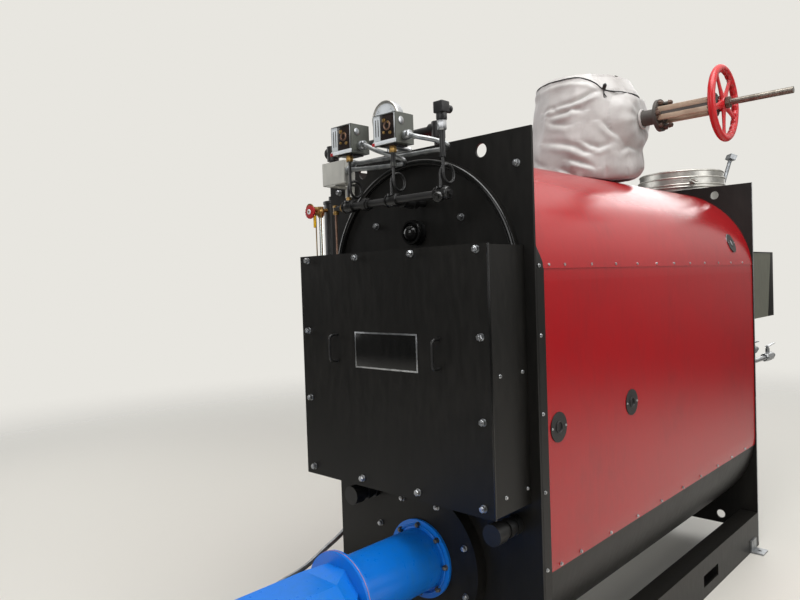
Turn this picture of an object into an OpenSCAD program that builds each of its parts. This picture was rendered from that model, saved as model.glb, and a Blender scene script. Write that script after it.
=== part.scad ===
// Industrial steam boiler on a skid, with its burner, gas train, steam valve and controls.
// +Y runs from the burner end to the flue end, +Z is up, and the origin lies on the floor
// midway between the four anchor bolts.

/* [Vessel] */
// Length of the vessel between its end plates
vessel_l = 2178; // [2100:1:2300]
// Outer radius of the vessel's rounded crown and belly
shell_r = 472; // [460:1:478]
// Height of the centre of the rounded crown
crown_z = 1510; // [1480:1:1515]
// Height of the centre of the rounded belly
belly_z = 620; // [590:1:700]
// Wall of the vessel
shell_t = 12; // [8:1:25]

/* [End plates] */
// How far the end plates stand out past the vessel on each side
plate_margin = 8; // [8:1:18]
// How far the end plates stand above the vessel's crown
plate_over = 18; // [10:1:48]
// Thickness of both end plates
plate_t = 10; // [8:1:16]
// Radius of the lifting and tie-down holes
lift_r = 23; // [16:0.5:26]
// Distance of each lifting hole from the middle
lift_x = 285; // [260:1:320]
// Depth of the lifting holes below the top edge
lift_drop = 49; // [40:1:60]
// Height of the tie-down holes
tie_z = 135; // [120:1:150]
// Height of the notch under each end plate, between the rails
notch_h = 85; // [40:1:100]

/* [Skid] */
// Height of the skid rails
rail_h = 183; // [170:1:200]
// Width of the rail flanges
rail_w = 90; // [70:1:100]
// Thickness of the rail metal
rail_t = 9; // [7:0.5:12]
// Length of each fork pocket along the rail
pocket_l = 190; // [160:1:220]
// Height of each fork pocket
pocket_h = 55; // [45:1:65]
// Height of the fork pockets above the floor
pocket_z = 50; // [40:1:70]
// Distance of each fork pocket's middle from the middle of the skid
pocket_y = 366; // [300:1:450]
// Length of each leg of the foot clips
clip_leg = 65; // [56:1:80]
// Width of each foot clip along the rail
clip_w = 80; // [60:1:90]
// Thickness of the foot clips
clip_t = 8; // [6:1:10]
// Distance of each foot clip's middle from the end plate
clip_inset = 97; // [70:1:160]
// Radius of the anchor bolt holes
anchor_r = 9; // [7:0.5:11]

/* [Jacket] */
// Thickness of the red sheet metal
jacket_t = 2.5; // [1.5:0.1:3]
// Height of the crown sheet's lower edge above the crown's centre
seam_up = 41.5; // [20:0.5:70]
// Height of the lower edge of the side sheets
hem_z = 560; // [520:1:600]
// How far the side sheets run up under the crown sheet
seam_lap = 30; // [20:1:50]
// Width of the black corner strips by the front plate
strip_w = 42; // [30:1:60]
// Thickness of the corner strips
strip_t = 4.5; // [3:0.5:6]
// Height of the hand ports in the side sheets
port_z = 1028; // [1000:1:1060]
// Radius of the hand port covers
port_r = 50; // [40:1:56]
// Thickness of the hand port covers
port_t = 3; // [2:0.5:5]
// Distance of the front hand ports from the front face
port_front = 125; // [110:1:180]
// Distance of the middle hand ports from the front face
port_middle = 669; // [600:1:760]
// Distance of the crown ports from the front face
port_rear = 1924; // [1850:1:2000]
// Angle of the crown ports above the horizontal
port_tilt = 19; // [12:1:30]

/* [Flue door] */
// Radius of the round flue door
door_r = 438; // [420:1:438]
// Height of the flue door's centre above the crown's centre
door_up = 10; // [0:1:20]
// Thickness of the flue door
door_t = 12; // [8:1:16]
// Width of the raised rim of the flue door
door_rim_w = 24; // [15:1:30]
// Height of the rim above the door
door_rim_t = 8; // [4:1:12]
// Height of the sight port above the door's centre
sight_up = 178; // [150:1:200]
// Radius of the sight port
sight_r = 44; // [36:1:50]

/* [Front cover] */
// How far the front cover box stands in from the end plate's edge
cover_inset = 38; // [25:1:38]
// Height of the underside of the cover box
cover_z0 = 800; // [796:1:840]
// Height of the cover box's top above the crown's centre
cover_up = 118; // [90:1:140]
// How far the cover's face stands in front of the end plate
cover_d = 196; // [170:1:220]
// Thickness of the cover's sheet metal
cover_t = 3; // [2:0.5:3]
// How far the cover panel hangs over the box
cover_lip = 4; // [2:1:8]
// Distance of each handle from the middle
handle_x = 246; // [200:1:280]
// Length of each handle
handle_l = 105; // [90:1:130]
// Height of the handles' middle
handle_z = 1290; // [1200:1:1350]
// Radius of the handle rod
handle_r = 5; // [4:0.5:7]
// How far the handles stand out
handle_out = 38; // [30:1:50]

/* [Burner] */
// Height of the burner's centre line
burner_z = 525; // [515:1:530]
// Radius of the round burner plate
burner_plate_r = 255; // [240:1:262]
// Thickness of the burner plate
burner_plate_t = 47; // [40:1:60]
// Radius of the blast tube
blast_r = 108; // [100:1:112]
// Radius of the flange by the burner plate
blast_flange_r = 140; // [135:1:150]
// Radius of the flange by the burner housing
mid_flange_r = 143; // [125:1:148]
// Thickness of the blast tube flanges
blast_flange_t = 10; // [8:1:18]
// Distance of the middle flange joint from the front face
mid_flange_d = 438; // [430:1:480]
// Distance of the housing's near end from the front face
housing_near_d = 516; // [500:1:540]
// Distance of the housing's far end from the front face
housing_d = 1000; // [960:1:1040]
// Half of the width of the burner housing
housing_half_w = 150; // [140:1:160]
// Height of the housing's flat top
housing_top_z = 612; // [600:1:640]
// Half of the width of the housing's flat top
housing_flat_w = 80; // [70:1:100]
// Radius of the air inlet drum
drum_r = 170; // [150:1:175]
// Length of the air inlet drum
drum_l = 150; // [120:1:180]
// Thickness of the drum's cover
drum_cover_t = 12; // [8:1:16]
// Distance of the drum's centre from the front face
drum_d = 712; // [700:1:730]
// Height of the drum's centre
drum_z = 199; // [190:1:230]
// Depth of the air servo in front of the drum
servo_d = 95; // [80:1:110]
// Height of the air servo
servo_h = 110; // [90:1:130]
// Radius of the fan motor
motor_r = 88; // [70:1:95]
// Length of the fan motor
motor_l = 235; // [200:1:280]
// Distance of the left inspection stub from the middle
left_stub_x = 276; // [265:1:385]
// Distance of the right inspection stub from the middle
right_stub_x = 378; // [350:1:385]
// Height of the inspection stubs
stub_z = 718; // [700:1:725]
// Length of the inspection stubs
stub_l = 130; // [110:1:160]
// Radius of the caps on the inspection stubs
stub_r = 35; // [30:1:40]

/* [Pressure controls] */
// Distance of the control manifold from the front face
manifold_d = 170; // [160:1:190]
// Depth of the control manifold below the end plate's top edge
manifold_drop = 200; // [185:1:210]
// Radius of the manifold pipe
manifold_r = 13; // [10:0.5:16]
// Spacing of the three siphon risers
riser_pitch = 218; // [190:1:240]
// Distance of the middle riser from the boiler's centre line
riser_x = 36; // [20:1:50]
// Radius of the siphon tube
siphon_r = 5; // [4:0.5:6]
// Radius of the siphon loops
loop_r = 30; // [24:1:34]
// Length of the siphon risers above the manifold
riser_l = 160; // [140:1:175]
// Radius of the flexible conduits
conduit_r = 8; // [6:0.5:10]
// Width of the pressure control cases
case_w = 106; // [100:1:120]
// Height of the pressure control cases
case_h = 101; // [95:1:120]
// Depth of the pressure control cases
case_d = 88; // [80:1:95]
// Radius of the pressure gauge
gauge_r = 64; // [50:1:66]
// Distance of the pressure gauge from the middle riser
gauge_x = 89; // [85:1:95]

/* [Steam valve] */
// Distance of the steam nozzle from the front face
nozzle_d = 1350; // [1300:1:1400]
// Radius of the nozzle pipe
nozzle_r = 84; // [70:1:90]
// Height of the valve's centre above the vessel's crown
valve_up = 280; // [268:1:308]
// Length of the valve between its flange faces
valve_face = 403; // [390:1:420]
// Radius of the valve's flanges
flange_r = 159; // [152:1:165]
// Thickness of the valve's flanges
flange_t = 36; // [28:1:38]
// Pitch circle diameter of the flange bolts
flange_pcd = 270; // [255:1:275]
// Radius of the flange bolt holes
flange_hole_r = 11; // [9:0.5:12]
// Radius of the steam way
steam_bore_r = 76; // [60:1:78]
// Radius of the valve stem
stem_r = 14; // [10:0.5:15]
// Distance of the stem's tip from the valve's centre, valve open
stem_tip = 890; // [860:1:920]
// Travel of the stem
stem_travel = 152; // [120:1:152]
// Radius of the handwheel's rim
wheel_r = 152; // [130:1:170]
// Radius of the rim's section
rim_r = 16; // [10:0.5:18]
// Distance of the handwheel from the valve's centre
wheel_x = 603; // [590:1:620]
// Clearance of the stem in its guides and of the wheel's sleeve in the yoke
running_gap = 0.06; // [0.03:0.01:0.09]

/* [Insulation jacket] */
// Radius of the insulation jacket at its waist
wrap_r = 280; // [272:1:290]
// Offset of the insulation jacket's waist from the valve, away from the handwheel
wrap_off = 30; // [20:1:40]
// Radius of the jacket's opening around the yoke
wrap_mouth_r = 60; // [45:1:80]

/* [Flue] */
// Height of the smoke box
smoke_h = 380; // [350:1:400]
// Height of the smoke box's top above the crown's centre
smoke_up = 115; // [90:1:140]
// Depth of the smoke box behind the rear plate
smoke_d = 502; // [500:1:520]
// Sheet thickness of the smoke box and flue collar
smoke_t = 4; // [3:0.5:5]
// Radius of the flue collar
flue_r = 240; // [220:1:245]
// Height of the flue collar
flue_l = 500; // [475:1:525]
// Width of the band clamp
clamp_w = 66; // [50:1:80]
// Distance of the band clamp from the collar's top
clamp_down = 40; // [10:1:60]
// Thickness of the band clamp
clamp_t = 8; // [5:1:10]

/* [Water column] */
// Distance of the water column from the side of the end plates
column_out = 120; // [105:1:130]
// Radius of the water column
column_r = 47; // [42:1:50]
// Length of the water column
column_l = 400; // [370:1:420]
// Depth of the column's upper end below the end plate's top edge
column_drop = 120; // [100:1:140]
// Radius of the column's pipes
pipe_r = 17; // [14:0.5:20]
// Height of the pipe that runs in over the crown, above the end plates
bridge_up = 90; // [75:1:110]
// Distance from the column to the gauge glass
glass_gap = 82; // [78:1:90]
// Height of the blowdown valve's centre
blow_z = 891; // [880:1:905]
// Length of the blowdown valve
blow_l = 84; // [70:1:90]
// Radius of the gauge glass
glass_r = 8; // [6:0.5:10]
// Distance of the gauge valves from the column's ends
glass_end = 40; // [35:1:60]
// Radius of the low water cutoff's float bowl
bowl_r = 70; // [60:1:72]
// Height of the float bowl's middle above the column's lower end
bowl_up = 125; // [110:1:140]
// Distance from the column to the float bowl
bowl_gap = 84; // [80:1:92]

/* [Control panel] */
// Distance of the panel's near edge from the front face
panel_d = 535; // [520:1:560]
// Width of the control panel
panel_w = 400; // [380:1:460]
// Height of the control panel
panel_h = 610; // [560:1:615]
// Height of the panel's underside
panel_z = 1205; // [1200:1:1215]
// Depth of the panel's box
panel_box_d = 190; // [170:1:210]
// Thickness of the panel's door
panel_door_t = 16; // [12:1:20]
// Sheet thickness of the panel's box
panel_t = 3; // [2:0.5:4]
// Gap between the panel's box and its door
panel_gap = 5; // [5:1:8]
// Width of the support channels
channel_w = 41; // [35:1:45]
// Thickness of the support channels' metal
channel_t = 4; // [3:0.5:5]

/* [Gas train] */
// Distance of the gas train from the side of the end plates
gas_out = 100; // [95:1:110]
// Height of the gas train
gas_z = 255; // [245:1:265]
// Radius of the gas pipe
gas_r = 24; // [20:0.5:26]
// Distance of the supply tee from the front face
gas_tee_d = 970; // [930:1:990]
// Distance of the gas cock from the front face
gas_cock_d = 790; // [770:1:810]
// Distance of the valve block's middle from the front face
gas_block_d = 470; // [460:1:480]
// Length of the gas valve block
gas_block_l = 330; // [300:1:340]
// Distance of the sensing tee from the front face, negative to its front
gas_sense_d = -50; // [-60:1:-45]
// Distance of the hand valve from the front face, negative to its front
gas_hand_d = -155; // [-165:1:-150]
// Distance of the gas pipe's cross run from the front face, negative to its front
gas_turn_d = -330; // [-350:1:-310]

/* [Hidden] */
$fn = 64;

// Clearance between curved faces that seat on each other
seat = 0.3;
plate_w = 2 * (shell_r + plate_margin);
plate_h = crown_z + shell_r + plate_over;
seam_z = crown_z + seam_up;
door_z = crown_z + door_up;
cover_half_w = plate_w / 2 - cover_inset;
cover_z1 = crown_z + cover_up;
manifold_z = plate_h - manifold_drop;
siphon_top_z = manifold_z + riser_l;
valve_z = crown_z + shell_r + valve_up;
smoke_z1 = crown_z + smoke_up;
smoke_z0 = smoke_z1 - smoke_h;
flue_top_z = smoke_z1 + flue_l;
column_z1 = plate_h - column_drop;
column_z0 = column_z1 - column_l;
bridge_z = plate_h + bridge_up;
glass_z0 = column_z0 + glass_end;
glass_z1 = column_z1 - glass_end;
bowl_z = column_z0 + bowl_up;
front_y = -vessel_l / 2 - plate_t;
rear_y = vessel_l / 2 + plate_t;
side_x = plate_w / 2;
side_jacket_r = shell_r + seat + jacket_t;
crown_jacket_r = side_jacket_r + seat + jacket_t;
door_face_y = front_y - door_t;
cover_face_y = front_y - cover_d;
nozzle_y = front_y + nozzle_d;
drum_y = front_y - drum_d;
mid_flange_y = front_y - mid_flange_d;
column_x = -side_x - column_out;
column_y = front_y + port_front;
channel_x = -side_x - channel_w;
panel_y0 = front_y + panel_d;
panel_y1 = panel_y0 + panel_w;
panel_face_x = channel_x - panel_box_d;
door_x = panel_face_x - panel_gap - panel_door_t;
hinge_r = 8;
hinge_x = door_x + panel_door_t / 2;
hinge_y = panel_y0 - hinge_r - 1;
gas_x = -side_x - gas_out;
gas_turn_y = front_y + gas_turn_d;
black = [0.09, 0.09, 0.09];
iron = [0.13, 0.13, 0.14];
red = [0.62, 0.05, 0.07];
blue = [0.07, 0.42, 0.78];
grey = [0.55, 0.57, 0.58];
steel = [0.72, 0.72, 0.73];
gold = [0.72, 0.55, 0.25];
yellow = [0.9, 0.75, 0.05];

// Extrudes a shape drawn in X and Z along Y, between two places
module along_y(y0, y1) {
  translate([0, y1, 0]) rotate([90, 0, 0]) linear_extrude(y1 - y0) children();
}
// Extrudes a shape drawn in Y and Z along X, between two places
module along_x(x0, x1) {
  translate([x0, 0, 0]) rotate([90, 0, 90]) linear_extrude(x1 - x0) children();
}
// Round bar between two points
module rod(a, b, r) {
  d = b - a;
  translate(a) rotate([0, acos(d.z / norm(d)), atan2(d.y, d.x)]) cylinder(h = norm(d), r = r);
}
// Block between two opposite corners
module block(a, b) {
  translate([min(a.x, b.x), min(a.y, b.y), min(a.z, b.z)])
    cube([abs(b.x - a.x), abs(b.y - a.y), abs(b.z - a.z)]);
}
// Upright shape with a rounded crown and belly, drawn in X and Z
module obround(r) {
  translate([0, crown_z]) circle(r, $fn = 128);
  translate([0, belly_z]) circle(r, $fn = 128);
  translate([-r, belly_z]) square([2 * r, crown_z - belly_z]);
}
// Sheet of a given outer radius that follows the vessel
module jacket_sheet(r) {
  along_y(-vessel_l / 2, vessel_l / 2) difference() {
    obround(r);
    obround(r - jacket_t);
    children();
  }
}
// Copies onto both sides of the boiler
module both_sides() {
  children();
  mirror([1, 0, 0]) children();
}
// Point i of a smooth route through hand-chosen points, with n steps to each stretch
function route_point(p, i, n) =
  let (k = min(floor(i / n), len(p) - 2), t = i / n - k,
       a = p[max(k - 1, 0)], b = p[k], c = p[k + 1], d = p[min(k + 2, len(p) - 1)])
  0.5 * (2 * b + (c - a) * t + (2 * a - 5 * b + 4 * c - d) * t * t
         + (3 * b - a - 3 * c + d) * t * t * t);
function smooth(p, n) = [for (i = [0 : n * (len(p) - 1)]) route_point(p, i, n)];
function unit(v) = v / norm(v);
function heading(p, i) = unit(p[min(i + 1, len(p) - 1)] - p[max(i - 1, 0)]);
// Conduit between two faces, straight over its first and last stretch
function conduit_run(p) = concat([p[0]], smooth([for (i = [1 : len(p) - 2]) p[i]], 4), [p[len(p) - 1]]);
// Tube swept along a list of points, with the ref direction kept across the tube
module swept_tube(p, r, ref, sides = 8) {
  last = len(p) - 1;
  rings = [for (i = [0 : last])
    let (h = heading(p, i), u = unit(cross(h, ref)), v = cross(h, u))
    for (s = [0 : sides - 1]) p[i] + r * (cos(360 * s / sides) * u + sin(360 * s / sides) * v)];
  walls = [for (i = [0 : last - 1]) for (s = [0 : sides - 1])
    [i * sides + s, i * sides + (s + 1) % sides,
     (i + 1) * sides + (s + 1) % sides, (i + 1) * sides + s]];
  start = [[for (s = [0 : sides - 1]) sides - 1 - s]];
  end = [[for (s = [0 : sides - 1]) last * sides + s]];
  polyhedron(rings, concat(walls, start, end));
}

module vessel_shell() {
  color(black) difference() {
    along_y(-vessel_l / 2, vessel_l / 2) difference() {
      obround(shell_r);
      obround(shell_r - shell_t);
    }
    translate([0, nozzle_y, crown_z]) cylinder(h = plate_h, r = nozzle_r + seat);
    translate([0, column_y, crown_z]) cylinder(h = plate_h, r = pipe_r + seat);
  }
}

// Outline shared by both end plates, drawn in X and Z
module plate_outline() {
  difference() {
    translate([-side_x, 0]) square([plate_w, plate_h]);
    translate([rail_w - side_x, -1]) square([plate_w - 2 * rail_w, notch_h + 1]);
    for (s = [-1, 1]) {
      translate([s * lift_x, plate_h - lift_drop]) circle(lift_r);
      translate([s * lift_x, tie_z]) circle(lift_r);
    }
  }
}
module front_plate() {
  color(black) along_y(front_y, front_y + plate_t) plate_outline();
}
module rear_plate() {
  color(black) along_y(rear_y - plate_t, rear_y) plate_outline();
}

// Channel rail with its flanges turned inward and two fork pockets
module right_rail() {
  color(black) difference() {
    along_y(-vessel_l / 2, vessel_l / 2) difference() {
      translate([side_x - rail_w, 0]) square([rail_w, rail_h]);
      translate([side_x - rail_w - 1, rail_t]) square([rail_w - rail_t + 1, rail_h - 2 * rail_t]);
    }
    for (s = [-1, 1])
      translate([side_x - rail_w, s * pocket_y - pocket_l / 2, pocket_z])
        cube([rail_w + 1, pocket_l, pocket_h]);
  }
}
module left_rail() {
  mirror([1, 0, 0]) right_rail();
}
module foot_clip() {
  difference() {
    union() {
      block([side_x, -clip_w / 2, 0], [side_x + clip_leg, clip_w / 2, clip_t]);
      block([side_x, -clip_w / 2, 0], [side_x + clip_t, clip_w / 2, clip_leg]);
    }
    translate([side_x + clip_leg / 2 + clip_t / 2, 0, -1]) cylinder(h = clip_t + 2, r = anchor_r);
  }
}
module foot_clips() {
  color(steel) both_sides() for (s = [-1, 1])
    translate([0, s * (vessel_l / 2 - clip_inset), 0]) foot_clip();
}

module crown_jacket() {
  color(red) difference() {
    jacket_sheet(crown_jacket_r) translate([-plate_w, seam_z - plate_h]) square([2 * plate_w, plate_h]);
    translate([0, nozzle_y, crown_z]) cylinder(h = plate_h, r = nozzle_r + 6);
    translate([0, column_y, crown_z]) cylinder(h = plate_h, r = pipe_r + 3);
  }
}
module right_jacket() {
  color(red) difference() {
    jacket_sheet(side_jacket_r) {
      translate([-2 * plate_w, 0]) square([2 * plate_w, 2 * plate_h]);
      translate([0, hem_z - plate_h]) square(plate_h);
      translate([0, seam_z + seam_lap]) square(plate_h);
    }
    for (d = [port_front, port_middle])
      rod([0, front_y + d, port_z], [plate_w, front_y + d, port_z], pipe_r + seat);
  }
}
module left_jacket() {
  mirror([1, 0, 0]) right_jacket();
}
module corner_strips() {
  y = front_y + plate_t;
  r = crown_jacket_r + seat;
  color(black) both_sides() intersection() {
    along_y(y, y + strip_w) {
      translate([crown_jacket_r - 1.5, rail_h]) square([strip_t, seam_z - rail_h]);
      difference() {
        translate([0, crown_z]) circle(r + 3, $fn = 128);
        translate([0, crown_z]) circle(r, $fn = 128);
        translate([-plate_w, seam_z - 20 - plate_w]) square([2 * plate_w, plate_w]);
      }
    }
    along_x(0, plate_w)
      polygon([[y, rail_h], [y + strip_w, rail_h], [y + strip_w, seam_z + 20], [y, seam_z + 124]]);
  }
}
module port_cover() {
  difference() {
    cylinder(h = port_t, r = port_r);
    translate([0, 0, -1]) cylinder(h = port_t + 2, r = pipe_r + seat);
  }
}
module port_covers() {
  color(iron) both_sides() {
    for (d = [port_front, port_middle])
      translate([side_jacket_r, front_y + d, port_z]) rotate([0, 90, 0]) port_cover();
    translate([0, front_y + port_rear, crown_z]) rotate([0, -port_tilt, 0])
      translate([crown_jacket_r + seat, 0, 0]) rotate([0, 90, 0]) port_cover();
  }
}

module flue_door() {
  color(black) difference() {
    union() {
      along_y(door_face_y, front_y) translate([0, door_z]) circle(door_r, $fn = 128);
      along_y(door_face_y - door_rim_t, front_y) difference() {
        translate([0, door_z]) circle(door_r, $fn = 128);
        translate([0, door_z]) circle(door_r - door_rim_w, $fn = 128);
      }
    }
    along_y(door_face_y - 1, front_y + 1) translate([0, door_z + sight_up]) circle(sight_r - 14);
  }
}
module sight_port() {
  color(iron) translate([0, 0, door_z + sight_up]) {
    along_y(door_face_y - 14, door_face_y) difference() {
      circle(sight_r);
      circle(sight_r - 14);
    }
    along_y(door_face_y - 6, front_y) circle(sight_r - 14 - seat);
    along_y(door_face_y - 24, door_face_y) circle(12);
    along_y(door_face_y - 12, door_face_y - 6) translate([-sight_r + 4, -5]) square([2 * sight_r - 8, 10]);
  }
}

module cover_box() {
  color(black) difference() {
    along_y(cover_face_y + cover_t, front_y) difference() {
      translate([-cover_half_w, cover_z0]) square([2 * cover_half_w, cover_z1 - cover_z0]);
      translate([-cover_half_w + cover_t, cover_z0 + cover_t])
        square([2 * (cover_half_w - cover_t), cover_z1 - cover_z0 - 2 * cover_t]);
    }
    along_y(door_face_y - door_rim_t - seat, front_y + 1)
      translate([0, door_z]) circle(door_r + seat, $fn = 128);
  }
}
module cover_panel() {
  color(black) along_y(cover_face_y, cover_face_y + cover_t)
    translate([-cover_half_w - cover_lip, cover_z0 - cover_lip])
      square([2 * (cover_half_w + cover_lip), cover_z1 - cover_z0 + 2 * cover_lip]);
}
module cover_handle() {
  bend = 3 * handle_r;
  for (s = [-1, 1]) {
    z = handle_z + s * (handle_l / 2 - handle_r);
    rod([0, cover_face_y, z], [0, cover_face_y - handle_out + bend, z], handle_r);
    translate([0, cover_face_y - handle_out + bend, z - s * bend]) rotate([0, -90, 0])
      rotate([0, 0, s > 0 ? -90 : 180]) rotate_extrude(angle = 90) translate([bend, 0]) circle(handle_r);
  }
  rod([0, cover_face_y - handle_out, handle_z - handle_l / 2 + handle_r + bend],
      [0, cover_face_y - handle_out, handle_z + handle_l / 2 - handle_r - bend], handle_r);
}
module cover_handles() {
  color(iron) both_sides() translate([handle_x, 0, 0]) cover_handle();
}

module burner_plate() {
  color(black) along_y(front_y - burner_plate_t, front_y)
    translate([0, burner_z]) circle(burner_plate_r, $fn = 128);
}
module blast_tube() {
  y0 = front_y - burner_plate_t;
  color(blue) translate([0, 0, burner_z]) {
    along_y(y0 - blast_flange_t, y0) circle(blast_flange_r);
    along_y(mid_flange_y, y0) circle(blast_r);
    along_y(mid_flange_y, mid_flange_y + blast_flange_t) circle(mid_flange_r);
  }
}
// Side view of the burner housing, drawn in Y and Z
module housing_side() {
  near = front_y - housing_near_d;
  far = front_y - housing_d;
  difference() {
    union() {
      polygon([[near, burner_z - blast_r], [near, housing_top_z], [far + 60, housing_top_z],
               [far, housing_top_z - 90], [far, drum_z], [drum_y + drum_r - 40, drum_z]]);
      translate([drum_y, drum_z]) circle(drum_r);
      translate([far, drum_z]) square([drum_y - far, housing_top_z / 2]);
      translate([far, drum_z - drum_r]) square([drum_y - far, drum_r + 1]);
    }
    translate([far - 1, drum_z - drum_r - 1]) square([1 + 60, drum_r - 60]);
  }
}
// Front view of the burner housing above a height, drawn in X and Z
module housing_front(z) {
  corner_z = housing_top_z - (housing_half_w - housing_flat_w);
  polygon([[-housing_half_w, z], [-housing_half_w, corner_z], [-housing_flat_w, housing_top_z],
           [housing_flat_w, housing_top_z], [housing_half_w, corner_z], [housing_half_w, z]]);
}
module burner_housing() {
  y0 = mid_flange_y - blast_flange_t;
  near = front_y - housing_near_d;
  color(blue) {
    intersection() {
      along_x(-housing_half_w, housing_half_w) housing_side();
      along_y(front_y - housing_d - 1, near) housing_front(0);
    }
    hull() {
      along_y(near - 1, near) housing_front(burner_z - blast_r);
      along_y(y0 - 1, y0) translate([0, burner_z]) rotate(22.5) circle(blast_r, $fn = 8);
    }
    along_y(y0, mid_flange_y) translate([0, burner_z]) circle(mid_flange_r);
  }
}
module fan_motor() {
  color(iron) translate([housing_half_w, drum_y, drum_z]) rotate([0, 90, 0]) {
    cylinder(h = 14, r = motor_r + 22);
    cylinder(h = motor_l - 40, r = motor_r);
    cylinder(h = motor_l, r = motor_r - 8);
  }
}
module inlet_drum() {
  color(grey) translate([-housing_half_w - drum_l, drum_y, drum_z])
    rotate([0, 90, 0]) cylinder(h = drum_l, r = drum_r, $fn = 96);
}
module drum_cover() {
  color(blue) translate([-housing_half_w - drum_l - drum_cover_t, drum_y, drum_z])
    rotate([0, 90, 0]) cylinder(h = drum_cover_t, r = drum_r + 5, $fn = 96);
}
module air_servo() {
  x = -housing_half_w - drum_l / 2;
  color(iron) {
    block([x - 45, drum_y + drum_r + seat, drum_z - 15],
          [x + 45, drum_y + drum_r + servo_d, drum_z - 15 + servo_h]);
  }
}
// Lower near corner of the junction box of the pressure controls
control_box = [-side_x + 72, front_y - 100, plate_h - 95];
control_box_size = [130, 54, 88];
// Small closed junction box with its cover plate
module small_box(size) {
  cube([size.x, size.y - 3, size.z]);
  translate([2, -2.5, 2]) cube([size.x - 4, 3, size.z - 4]);
}
module terminal_boxes() {
  color(grey) {
    translate([-housing_half_w - 60, front_y - housing_near_d - 84, burner_z - 95]) small_box([60, 60, 52]);
    translate([gas_x - 30, front_y - 6, gas_z + gas_r + seat]) small_box([60, 150, 52]);
    translate(control_box) small_box(control_box_size);
    block(control_box + [22, 0, 0], [control_box.x + 72, front_y, control_box.z - 5]);
    block([control_box.x + 22, front_y - 5, control_box.z - 40], [control_box.x + 72, front_y, control_box.z]);
  }
}
module inspection_stubs() {
  color(iron) for (x = [-left_stub_x, right_stub_x]) translate([x, 0, stub_z]) {
    along_y(front_y - stub_l + 45, front_y) circle(stub_r - 8);
    along_y(front_y - 22, front_y) circle(stub_r - 2);
    along_y(front_y - 62, front_y - 40) circle(stub_r - 3);
    along_y(front_y - stub_l, front_y - stub_l + 46) circle(stub_r);
  }
}

risers = [for (k = [-1 : 1]) riser_x + k * riser_pitch];
// Length of the threaded nipple on top of each siphon
nipples = [0, 46, 46];
manifold_y = front_y - manifold_d;
// Distance from the first siphon to the thin tube at the manifold's end, and the tube's radius
branch = 76;
branch_r = 4;
module control_manifold() {
  color(iron) {
    rod([risers[0] - 26, manifold_y, manifold_z], [risers[2] + 26, manifold_y, manifold_z], manifold_r);
    for (x = risers) {
      rod([x - 24, manifold_y, manifold_z], [x + 24, manifold_y, manifold_z], manifold_r + 5);
      rod([x, manifold_y, manifold_z - 20], [x, manifold_y, manifold_z + 22], manifold_r);
    }
    rod([risers[0] - branch, manifold_y, manifold_z], [risers[0] - 20, manifold_y, manifold_z], manifold_r - 3);
    rod([risers[0] - branch, manifold_y, manifold_z + 12], [risers[0] - branch, manifold_y, manifold_z - 22], 9);
    rod([risers[0] - branch, manifold_y, manifold_z - 20],
        [risers[0] - branch, manifold_y, cover_z1 + seat], branch_r);
    rod([risers[1], manifold_y, manifold_z], [risers[1], door_face_y, manifold_z], manifold_r);
    rod([risers[1], manifold_y + 55, manifold_z], [risers[1], manifold_y + 95, manifold_z], manifold_r + 10);
  }
}
// Siphon route from the manifold up, once round a loop behind the riser, and up again
function siphon_route(k) = let (x = risers[k]) concat(
  [[x - 4, manifold_y, manifold_z + 22], [x - 4, manifold_y, siphon_top_z - 110]],
  [for (a = [0 : 20 : 360])
    [x - 4 + 8 * a / 360 * 1.5, manifold_y + loop_r * (1 - cos(a)), siphon_top_z - 95 + loop_r * sin(a)]],
  [[x + 8, manifold_y, siphon_top_z - 80], [x + 8, manifold_y, siphon_top_z - nipples[k]]]);
module siphon_loops() {
  color(iron) for (k = [0 : 2]) swept_tube(siphon_route(k), siphon_r, [1, 0, 0]);
}
// Threaded nipple of length l below an instrument
module nipple(l) {
  if (l > 0) translate([0, 0, -l]) {
    cylinder(h = l + 1, r = siphon_r + 3);
    cylinder(h = 14, r = siphon_r + 6, $fn = 6);
  }
}
case_y = manifold_y - 29;
module pressure_control(nipple_l) {
  translate([-9 - case_w / 2, case_y, 0]) cube([case_w, case_d, case_h]);
  translate([0, manifold_y, -28]) cylinder(h = 29, r = 11, $fn = 6);
  translate([0, manifold_y, -28]) nipple(nipple_l);
}
module pressure_controls() {
  color(grey) for (k = [0, 1])
    translate([risers[k] + 8, 0, siphon_top_z + 28]) pressure_control(nipples[k]);
}
module pressure_sensor() {
  color(iron) translate([risers[2] + 8, manifold_y, siphon_top_z]) {
    cylinder(h = 40, r = 9);
    nipple(nipples[2]);
    translate([0, 0, 40]) cylinder(h = 30, r = 12, $fn = 6);
    translate([0, 0, 70]) cylinder(h = 22, r = 15);
    translate([-17, -17, 92]) cube([34, 34, 36]);
    translate([0, 0, 110]) rotate([-90, 0, 0]) cylinder(h = 42, r = 10);
  }
}
module pressure_gauge() {
  y = case_y + case_d + 8;
  foot = [risers[1] - gauge_x, y + 14, siphon_top_z + 20];
  turn = [risers[1] + 8, foot.y, foot.z];
  color(steel) {
    translate([foot.x, y + 28, siphon_top_z + 143]) rotate([90, 0, 0]) cylinder(h = 28, r = gauge_r);
    rod(foot, [foot.x, foot.y, siphon_top_z + 146 - gauge_r], 7);
    translate(foot) sphere(10);
    rod(foot, turn, 7);
    translate(turn) sphere(10);
    rod([turn.x, manifold_y + 9.6 + seat, turn.z], turn, 7);
  }
}
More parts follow.
